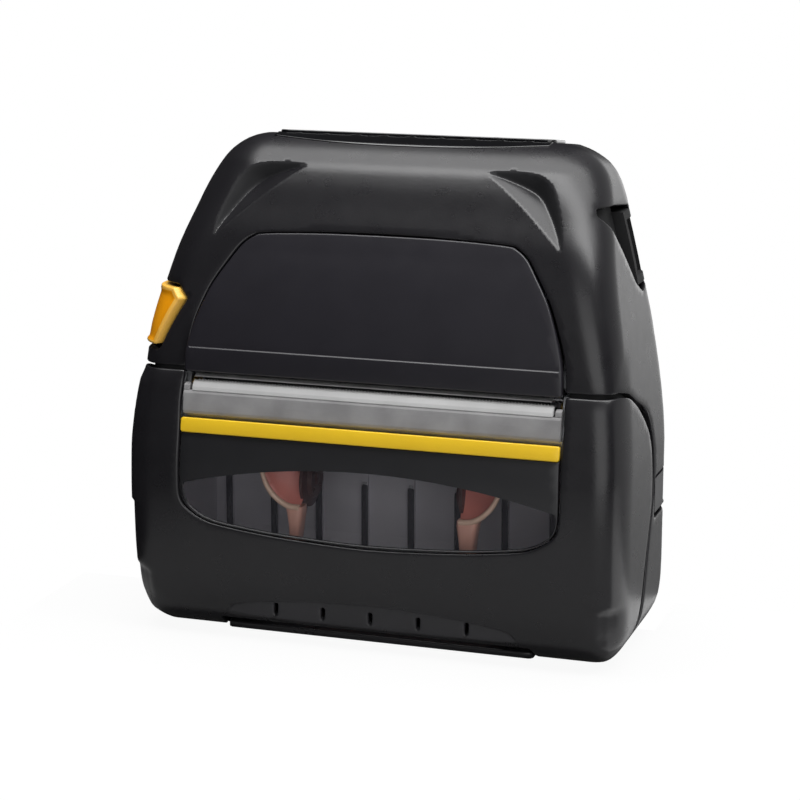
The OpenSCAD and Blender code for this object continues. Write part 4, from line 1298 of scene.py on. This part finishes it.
# ------------------------------------------------------------------ latch button
def latch_P(u, v):
    p = base(u, v)
    return p + normal(base, u, v) * 0.9


ll = latch_uv(-0.75)
inner_l = resample(inset(ll, 1.05), 0.8)


def latch_surf(u, v):
    p = Vector((u, v))
    h = 1.0
    if inside([ll], p):
        d = dist_poly(p, ll + [ll[0]])
        h = 1.0 - 0.5 * sstep(1.2, 1.9, d)
    return base(u, v) + normal(base, u, v) * h


# faces near the edge of the latch button take the paler yellow: painted highlight
def latch_painted_highlight_rim(p):
    return 1 if dist_poly(p, ll + [ll[0]]) < 1.05 else 0


patch("latch_button_cap", latch_surf, ll, grid=0.8, thick=4.6, r=0.6, lips=4, feats=[(True, inner_l)], N=lambda u, v: LATCH_OUT,
      replaces=("latch_button",), mats=["latch_yellow", "latch_painted_highlight_rim"], mat_of=latch_painted_highlight_rim, body="latch_button")


# ------------------------------------------------------------------ control panel
def ui(x, v, h):
    c, s = math.cos(UT), math.sin(UT)
    return Vector((x, UY + v * c + h * s, UZ - v * s + h * c))


def rrect(x0, y0, x1, y1, r, step=0.8):
    return resample(fillet([(x0, y0), (x1, y0), (x1, y1), (x0, y1)], r, n=10), step)


def panel():
    P = lambda x, v: ui(x, v, 1.0)
    n = (ui(0, 0, 1) - ui(0, 0, 0)).normalized()
    holes = [rrect(-6 - 18.1, 2.4, -6 + 18.1, 15.6, 0.6)]
    for k in KEYS:
        holes.append(rrect(k[0] - k[2] / 2 - 0.25, k[1] - k[3] / 2 - 0.25, k[0] + k[2] / 2 + 0.25, k[1] + k[3] / 2 + 0.25, 0.9))
    holes.append([Vector((-42.5 + 1.1 * math.cos(a * math.pi / 8), 9 + 1.1 * math.sin(a * math.pi / 8))) for a in range(16)])
    patch("ui_panel_plate", P, rrect(-45, 1.2, 45, 16.8, 2.2), holes, grid=2.2, thick=2.4, r=0.35, N=lambda a, b: n, replaces=("ui_panel",),
          mats="gloss_black", body="housing")


LIP = spline([(-44.8, 10.6), (-30, 8.2), (-15, 7.0), (0, 6.7), (15, 7.0), (30, 8.2), (44.8, 10.6)], 1.0)


def top_P(x, y):
    """Crest of the body seen from above."""
    lo, hi = 120.0, H
    if y >= UY:
        return Vector((x, y, H - (y - UY) * math.tan(UT) + 0.3))
    for _ in range(30):
        m = (lo + hi) / 2
        if _F(m) < y:
            lo = m
        else:
            hi = m
    return Vector((x, y, lo + 0.3))


def top_N(x, y):
    d = (top_P(x, min(y, 15.0) + 0.2) - top_P(x, min(y, 15.0) - 0.2))
    return Vector((0, -d.z, d.y)).normalized()


lip_loop = resample([(p.x, p.y) for p in LIP] + [(44.8, 15.4), (-44.8, 15.4)], 1.0)
patch("ui_panel_lip", top_P, lip_loop, grid=1.8, thick=1.0, r=0.25, N=top_N, mats="gloss_black", body="housing")

KEYS = [(-29.5, 12.7, 6, 5), (-29.5, 5.3, 6, 5), (-37, 9, 6, 6), (39.5, 9, 6, 6), (25.5, 13.8, 6, 3.2), (25.5, 4.2, 6, 3.2), (19.2, 9, 3.6, 6), (31.8, 9, 3.6, 6), (25.5, 9, 5.6, 4.2)]
KEYN = ["soft_key_upper", "soft_key_lower", "feed_key", "power_key", "nav_up_key", "nav_down_key", "nav_left_key", "nav_right_key", "nav_select_key"]
panel()
for k, nm in zip(KEYS, KEYN):
    lp = rrect(k[0] - k[2] / 2, k[1] - k[3] / 2, k[0] + k[2] / 2, k[1] + k[3] / 2, 0.8, 0.5)
    prism(nm + "_cap", lp, lambda x, y, h: ui(x, y, -2.9 + h), 3.85, r=0.5, mats="key_rubber", body=nm, slot="key_rubber", replaces=(nm,))


def flat_icon(name, loops2d, body, mat="icon_white", h=1.06):
    verts, faces = [], []
    for lp in loops2d:
        k = len(verts)
        n = len(lp)
        for d in (0.0, 0.035):
            verts += [ui(p[0], p[1], h + d) for p in lp]
        faces.append(tuple(range(k + n, k + 2 * n)))
        faces.append(tuple(range(k + n - 1, k - 1, -1)))
        for i in range(n):
            j = (i + 1) % n
            faces.append((k + i, k + j, k + n + j, k + n + i))
    return finish_mesh(name, verts, faces, mat, body, smooth=False)


def tri(cx, cy, s, a):
    return [(cx + s * math.cos(a + t), cy + s * math.sin(a + t)) for t in (0, 2 * math.pi / 3, 4 * math.pi / 3)]


flat_icon("icon_up", [tri(25.5, 13.7, 0.95, math.pi / 2)], "nav_up_key")
flat_icon("icon_down", [tri(25.5, 4.3, 0.95, -math.pi / 2)], "nav_down_key")
flat_icon("icon_left", [tri(19.1, 9, 0.95, math.pi)], "nav_left_key")
flat_icon("icon_right", [tri(31.9, 9, 0.95, 0)], "nav_right_key")
flat_icon("icon_select", [[(25.5 + 0.75 * math.cos(a * math.pi / 8), 9 + 0.75 * math.sin(a * math.pi / 8)) for a in range(16)]], "nav_select_key")


def arc_ring(cx, cy, r0, r1, a0, a1, n=20):
    out = [(cx + r1 * math.cos(a0 + (a1 - a0) * i / n), cy + r1 * math.sin(a0 + (a1 - a0) * i / n)) for i in range(n + 1)]
    out += [(cx + r0 * math.cos(a1 - (a1 - a0) * i / n), cy + r0 * math.sin(a1 - (a1 - a0) * i / n)) for i in range(n + 1)]
    return out


flat_icon("icon_power", [arc_ring(39.5, 8.8, 1.25, 1.6, math.radians(125), math.radians(415)), [(39.3, 9.3), (39.7, 9.3), (39.7, 11), (39.3, 11)]], "power_key")
flat_icon("icon_feed", [[(-38.6, 9.9), (-35.4, 9.9), (-35.4, 10.3), (-38.6, 10.3)], tri(-37, 8.4, 0.95, -math.pi / 2)], "feed_key")
prism("lcd_lens_glass", rrect(-24, 2.5, 12, 15.5, 0.5), lambda x, y, h: ui(x, y, -0.6 + h), 1.45, r=0.2, mats="lcd_glass", body="housing", slot="lcd_glass", replaces=("lcd_lens",))
prism("status_light_pipe", [(-42.5 + 0.98 * math.cos(a * math.pi / 10), 9 + 0.98 * math.sin(a * math.pi / 10)) for a in range(20)], lambda x, y, h: ui(x, y, -4.4 + h), 5.4, r=0.35,
      mats="light_pipe", body="housing", slot="light_pipe", replaces=("status_light",))


# ------------------------------------------------------------------ media guides
def squircle(x0, x1, y0, y1, z, n=24):
    out = []
    for k in range(n):
        a = 2 * math.pi * (k + 0.5) / n
        c, q = math.cos(a), math.sin(a)
        out.append(Vector(((x0 + x1) / 2 + (x1 - x0) / 2 * math.copysign(abs(c) ** 0.5, c), (y0 + y1) / 2 + (y1 - y0) / 2 * math.copysign(abs(q) ** 0.5, q), z)))
    return out


def guide_mesh(s, body):
    """Flat stem that turns into a curved rib with a thin dished cup above it. s is -1 on the left; o runs outwards."""
    tag = "left" if s < 0 else "right"
    gx = 28.0 * s
    rows = []
    wide = 1.3 if s > 0 else 0.0
    for z, o0, o1, y0, y1 in ((16.8, -2.2, 2.2, -21.2, -14.0), (18.6, -1.9, 1.7 + wide, -21.0, -14.0), (22, -1.5, 1.2 + wide, -20.8, -14.4), (30, -1.7, 1.2 + wide, -20.7, -14.4), (36, -2.5, 1.8 + wide, -20.6, -14.2), (39.4, -3.0, 2.4 + wide, -20.5, -14.0), (41.2, -3.0, 3.0 + wide, -20.2, -14.4)):
        rows.append(squircle(*sorted((gx + s * o0, gx + s * o1)), y0, y1, z))
    loft_solid("guide_stem_" + tag, rows, "guide_copper", body, replaces=("guide_" + tag,), sharp=60)
    ro = spline([(-2.0, 41.0), (0.4, 41.05), (2.4, 41.5), (4.7, 42.8), (6.9, 44.7), (8.7, 47.0), (10.0, 49.7), (10.7, 52.8), (10.9, 56.4)], 0.6)
    path = [Vector((gx + s * p.x, -19.6 + 0.10 * max(0.0, p.y - 45), p.y)) for p in ro]
    # the rim of the cup takes the paler copy of the guide colour: painted highlight
    tube("guide_rim_" + tag, path, lambda t: 1.02 - 0.35 * t, "guide_rim", body, n=14)
    ri = spline([(-4.6, 56.4), (-4.2, 52.0), (-3.1, 48.0), (-2.4, 44.0), (-2.0, 41.6)], 0.8)
    lp = resample([Vector((gx + s * p.x, p.y)) for p in ro] + [Vector((gx + s * 3.0, 56.6))] + [Vector((gx + s * p.x, p.y)) for p in ri], 0.9)
    rimline = [Vector((gx + s * p.x, p.y)) for p in ro]

    def dish(x, z):
        d = dist_poly(Vector((x, z)), rimline)
        return Vector((x, -19.3 + 6.0 * (1 - math.exp(-d / 4.5)), z))
    # the cup takes the darker copy of the guide colour: painted shade
    patch("guide_cup_" + tag, dish, lp, grid=1.0, thick=0.9, r=0.2, lips=2, N=lambda x, z: Vector((0, -1, 0)), mats="guide_web", body=body)
    arm = resample(fillet([(-17.5, 33.5), (-13.5, 33), (-10, 37.5), (-7.6, 43), (-7.4, 47), (-8.4, 50.2), (-11.2, 50.6), (-12.3, 47), (-12.3, 42), (-14.5, 38.5)], 0.8), 1.2)
    x0 = gx - 1.1
    # arm and pin take the dark copy of the guide colour: painted shade
    prism("guide_arm_" + tag, arm, lambda y, z, h: Vector((x0 + h, y, z)), 2.2, r=0.4, mats="guide_shade", body=body, slot="guide_copper")
    tube("guide_pin_" + tag, [Vector((gx, -9.5, 48)), Vector((gx - s * 2.2, -9.5, 48)), Vector((gx - s * 4.4, -9.5, 48)), Vector((gx - s * 4.7, -9.5, 48))], lambda t: 1.95 if t < 0.9 else 1.5, "guide_shade", body, n=24)
    cad_cut("guide_rack_" + tag, "guide_" + tag, (0, 0, 18.0), (0, 0, 1), "guide_copper", body)


guide_mesh(-1, "guide_left")
guide_mesh(1, "guide_right")

# ribs on the back wall of the roll space in a dark copy of the bucket grey (painted shade), each with a small pale end
# (painted highlight)
for i in range(-4, 5):
    cx = i * 15.7
    prism("bucket_rib_%d" % (i + 5), rrect(cx - 1.05, 20.5, cx + 1.05, 41.2, 0.5, 0.8), lambda x, z, h: Vector((x, 12.9 - h, z)), 0.7, r=0.2, mats="bucket_rib", body="housing", slot="bucket_grey")
    prism("bucket_rib_end_%d" % (i + 5), rrect(cx - 0.8, 41.3, cx + 0.8, 42.1, 0.3, 0.4), lambda x, z, h: Vector((x, 12.9 - h, z)), 0.7, r=0.15, mats="bucket_end", body="housing", slot="bucket_grey")

# ------------------------------------------------------------------ battery
bx = resample(fillet([(-38.9, 24.6), (38.9, 24.6), (38.9, 74.2), (-38.9, 74.2)], 2.2), 1.5)
BATT_GRIPS = [rrect(-24, 34 + i * 5, 24, 36 + i * 5, 0.9, 1.2) for i in range(4)]
patch("battery_outer", lambda x, z: Vector((-x, 33.3, z)), [Vector((-p.x, p.y)) for p in reversed(bx)], BATT_GRIPS, grid=3.0, thick=1.4, r=0.6, N=lambda a, b: Vector((0, 1, 0)),
      mats="battery_black", body="battery")
prism("battery_grip_floor", [(-26, 32), (26, 32), (26, 53), (-26, 53)], lambda x, z, h: Vector((x, 32.0 + 0.3 - h, z)), 0.3, r=0.05, mats="battery_black", body="battery", slot="battery_black")

# ------------------------------------------------------------------ floor of the main housing
fl = []
for i in range(0, 61):
    u = u_y(-12.2, 0.0) + (half_len(0) - u_y(-12.2, 0.0)) * i / 60
    x, y = ring_xy(u, 0.0)
    fl.append(Vector((x, y)))
fl = fl[:-1] + [Vector((-p.x, p.y)) for p in reversed(fl)]
fl = resample(fl, 2.0)
dock = [rrect(i * 7 - 2.1, 1.9, i * 7 + 2.1, 6.1, 0.5, 0.8) for i in (-1.5, -0.5, 0.5, 1.5)]
patch("housing_floor", lambda x, y: Vector((x, -y, 0.0)), [Vector((p.x, -p.y)) for p in reversed(fl)], [[Vector((p.x, -p.y)) for p in reversed(d)] for d in dock], grid=4.0, thick=2.3, r=0.4,
      N=lambda a, b: Vector((0, 0, -1)), mats="charcoal_shell", body="housing")
# thin near-black steps under the body: painted shade
for sx in (-1, 1):
    prism("housing_floor_step_" + ("left" if sx < 0 else "right"), rrect(*sorted((sx * 49.4, sx * 53.6))[:1], -15.8, *sorted((sx * 49.4, sx * 53.6))[1:], -9.4, 0.4, 2.0), lambda x, y, h: Vector((x, y, h)), 0.35, r=0.1, mats="seam_dark", body="housing", slot="charcoal_shell")
prism("housing_floor_tongue", rrect(-50.1, -20.8, 50.1, -9, 1.5, 2.0), lambda x, y, h: Vector((x, y, h)), 2.2, r=0.5, mats="charcoal_shell", body="housing", slot="charcoal_shell")

for nm in ("door_frame", "chassis", "printhead", "drive_motor", "battery_latch", "port_cover", "port_sockets", "strap_lug_left", "strap_lug_right", "battery_pack", "media_bucket"):
    if NODES[nm].hide_render is False:
        soften(nm)

# ------------------------------------------------------------------ floor, light and camera
fm = bpy.data.materials.new("studio_floor")
fm.use_nodes = True
fn = fm.node_tree
fb = fn.nodes["Principled BSDF"]
fb.inputs["Base Color"].default_value = (0.80, 0.80, 0.80, 1)
fb.inputs["Roughness"].default_value = 0.9
fb.inputs["Specular IOR Level"].default_value = 0.1
f_out = fn.nodes["Material Output"]
f_lp = fn.nodes.new("ShaderNodeLightPath")
f_em = fn.nodes.new("ShaderNodeEmission")
f_em.inputs["Color"].default_value = (1, 1, 1, 1)
f_em.inputs["Strength"].default_value = 1.0
f_add = fn.nodes.new("ShaderNodeMixShader")
f_add.inputs["Fac"].default_value = 0.93
f_dim = fn.nodes.new("ShaderNodeBsdfDiffuse")
f_dim.inputs["Color"].default_value = (0.32, 0.32, 0.32, 1)
f_mix = fn.nodes.new("ShaderNodeMixShader")
fn.links.new(fb.outputs[0], f_add.inputs[1])
fn.links.new(f_em.outputs[0], f_add.inputs[2])
fn.links.new(f_lp.outputs["Is Camera Ray"], f_mix.inputs["Fac"])
fn.links.new(f_dim.outputs[0], f_mix.inputs[1])
fn.links.new(f_add.outputs[0], f_mix.inputs[2])
fn.links.new(f_mix.outputs[0], f_out.inputs[0])
fm2 = fm.copy()
fm2.name = "studio_floor_side"
for _n in fm2.node_tree.nodes:
    if _n.bl_idname == "ShaderNodeBsdfDiffuse":
        _n.inputs["Color"].default_value = (0.85, 0.85, 0.85, 1)
for _name, _mat, _x0, _x1, _y0, _y1 in (("studio_floor", fm, -0.12, 0.34, -0.40, -0.03), ("studio_floor_left", fm, -0.12, 0.079, -0.03, 0.02), ("studio_floor_side", fm2, 0.079, 0.34, -0.03, 0.05)):
    fl_me = bpy.data.meshes.new(_name)
    fl_me.from_pydata([(_x0, _y0, 0), (_x1, _y0, 0), (_x1, _y1, 0), (_x0, _y1, 0)], [], [(0, 1, 2, 3)])
    fl_ob = bpy.data.objects.new(_name, fl_me)
    fl_me.materials.append(_mat)
    SC.collection.objects.link(fl_ob)
    fl_ob.location = (0, 0, -0.0006)

wd = bpy.data.worlds.new("studio")
SC.world = wd
wd.use_nodes = True
wn = wd.node_tree
wn.nodes.clear()
w_out = wn.nodes.new("ShaderNodeOutputWorld")
w_mix = wn.nodes.new("ShaderNodeMixShader")
w_lp = wn.nodes.new("ShaderNodeLightPath")
w_cam = wn.nodes.new("ShaderNodeBackground")
w_cam.inputs["Color"].default_value = (1, 1, 1, 1)
w_cam.inputs["Strength"].default_value = 1.0
w_env = wn.nodes.new("ShaderNodeBackground")
w_tc = wn.nodes.new("ShaderNodeTexCoord")
w_sep = wn.nodes.new("ShaderNodeSeparateXYZ")
wn.links.new(w_tc.outputs["Generated"], w_sep.inputs[0])


def sky_ramp(axis, stops):
    """Grey ramp along one axis of the direction; stops are (component, value)."""
    mp = wn.nodes.new("ShaderNodeMapRange")
    mp.inputs["From Min"].default_value = -1
    mp.inputs["From Max"].default_value = 1
    wn.links.new(w_sep.outputs[axis], mp.inputs["Value"])
    rp = wn.nodes.new("ShaderNodeValToRGB")
    el = rp.color_ramp.elements
    for k, (c, g) in enumerate(stops):
        e = el[0] if k == 0 else (el[1] if k == 1 else el.new((c + 1) / 2))
        e.color = (g, g, g, 1)
        e.position = (c + 1) / 2
    wn.links.new(mp.outputs["Result"], rp.inputs["Fac"])
    return rp.outputs["Color"]


def sky_times(a, b):
    mx = wn.nodes.new("ShaderNodeMix")
    mx.data_type = "RGBA"
    mx.blend_type = "MULTIPLY"
    mx.inputs["Factor"].default_value = 1.0
    wn.links.new(a, mx.inputs["A"])
    wn.links.new(b, mx.inputs["B"])
    return mx.outputs["Result"]


sky_y = sky_ramp("Y", ((-0.12, 0.04), (0.984, 1.0), (0.0, 0.20), (0.50, 0.28), (0.80, 0.28), (0.91, 0.24), (0.94, 0.23), (0.956, 0.44)))
sky_z = sky_ramp("Z", ((-0.27, 0.5), (1.0, 0.3), (-0.10, 0.8), (0.0, 1.0), (0.20, 0.75), (0.50, 0.5)))
sky_x = sky_ramp("X", ((-0.02, 0.05), (0.06, 1.0)))
wn.links.new(sky_times(sky_times(sky_y, sky_z), sky_x), w_env.inputs["Color"])
w_env.inputs["Strength"].default_value = 2.2
wn.links.new(w_lp.outputs["Is Camera Ray"], w_mix.inputs["Fac"])
wn.links.new(w_env.outputs[0], w_mix.inputs[1])
wn.links.new(w_cam.outputs[0], w_mix.inputs[2])
wn.links.new(w_mix.outputs[0], w_out.inputs[0])


def area_light(name, loc, target, size, power, color=(1, 1, 1), size_y=None):
    li = bpy.data.lights.new(name, "AREA")
    li.shape = "RECTANGLE"
    li.size = size
    li.size_y = size_y or size
    li.energy = power
    li.color = color
    ob = bpy.data.objects.new(name, li)
    SC.collection.objects.link(ob)
    ob.location = loc
    ob.rotation_mode = "QUATERNION"
    ob.rotation_quaternion = (Vector(target) - Vector(loc)).to_track_quat("-Z", "Y")
    return ob


area_light("overhead", (0.25, -0.265, 1.08), (0.25, -0.265, 0), 1.40, 12.2, size_y=0.35)
area_light("overhead_back", (0.20, 0.18, 1.08), (0.20, 0.18, 0), 1.5, 9.0, size_y=0.55)
area_light("front_fill", (0.50, -1.42, 0.46), (0, 0, 0.07), 1.25, 7.5)

cd = bpy.data.cameras.new("camera")
cd.sensor_width = 36.0
cd.lens = 2379.4 / 800 * 36.0
cd.clip_start, cd.clip_end = 0.01, 20
cam = bpy.data.objects.new("camera", cd)
SC.collection.objects.link(cam)
cam.location = (0.22975, -0.68723, 0.24046)
cam.rotation_euler = (math.pi / 2 - 0.22705, 0, 0.32194)
SC.camera = cam
SC.view_settings.view_transform = "Standard"
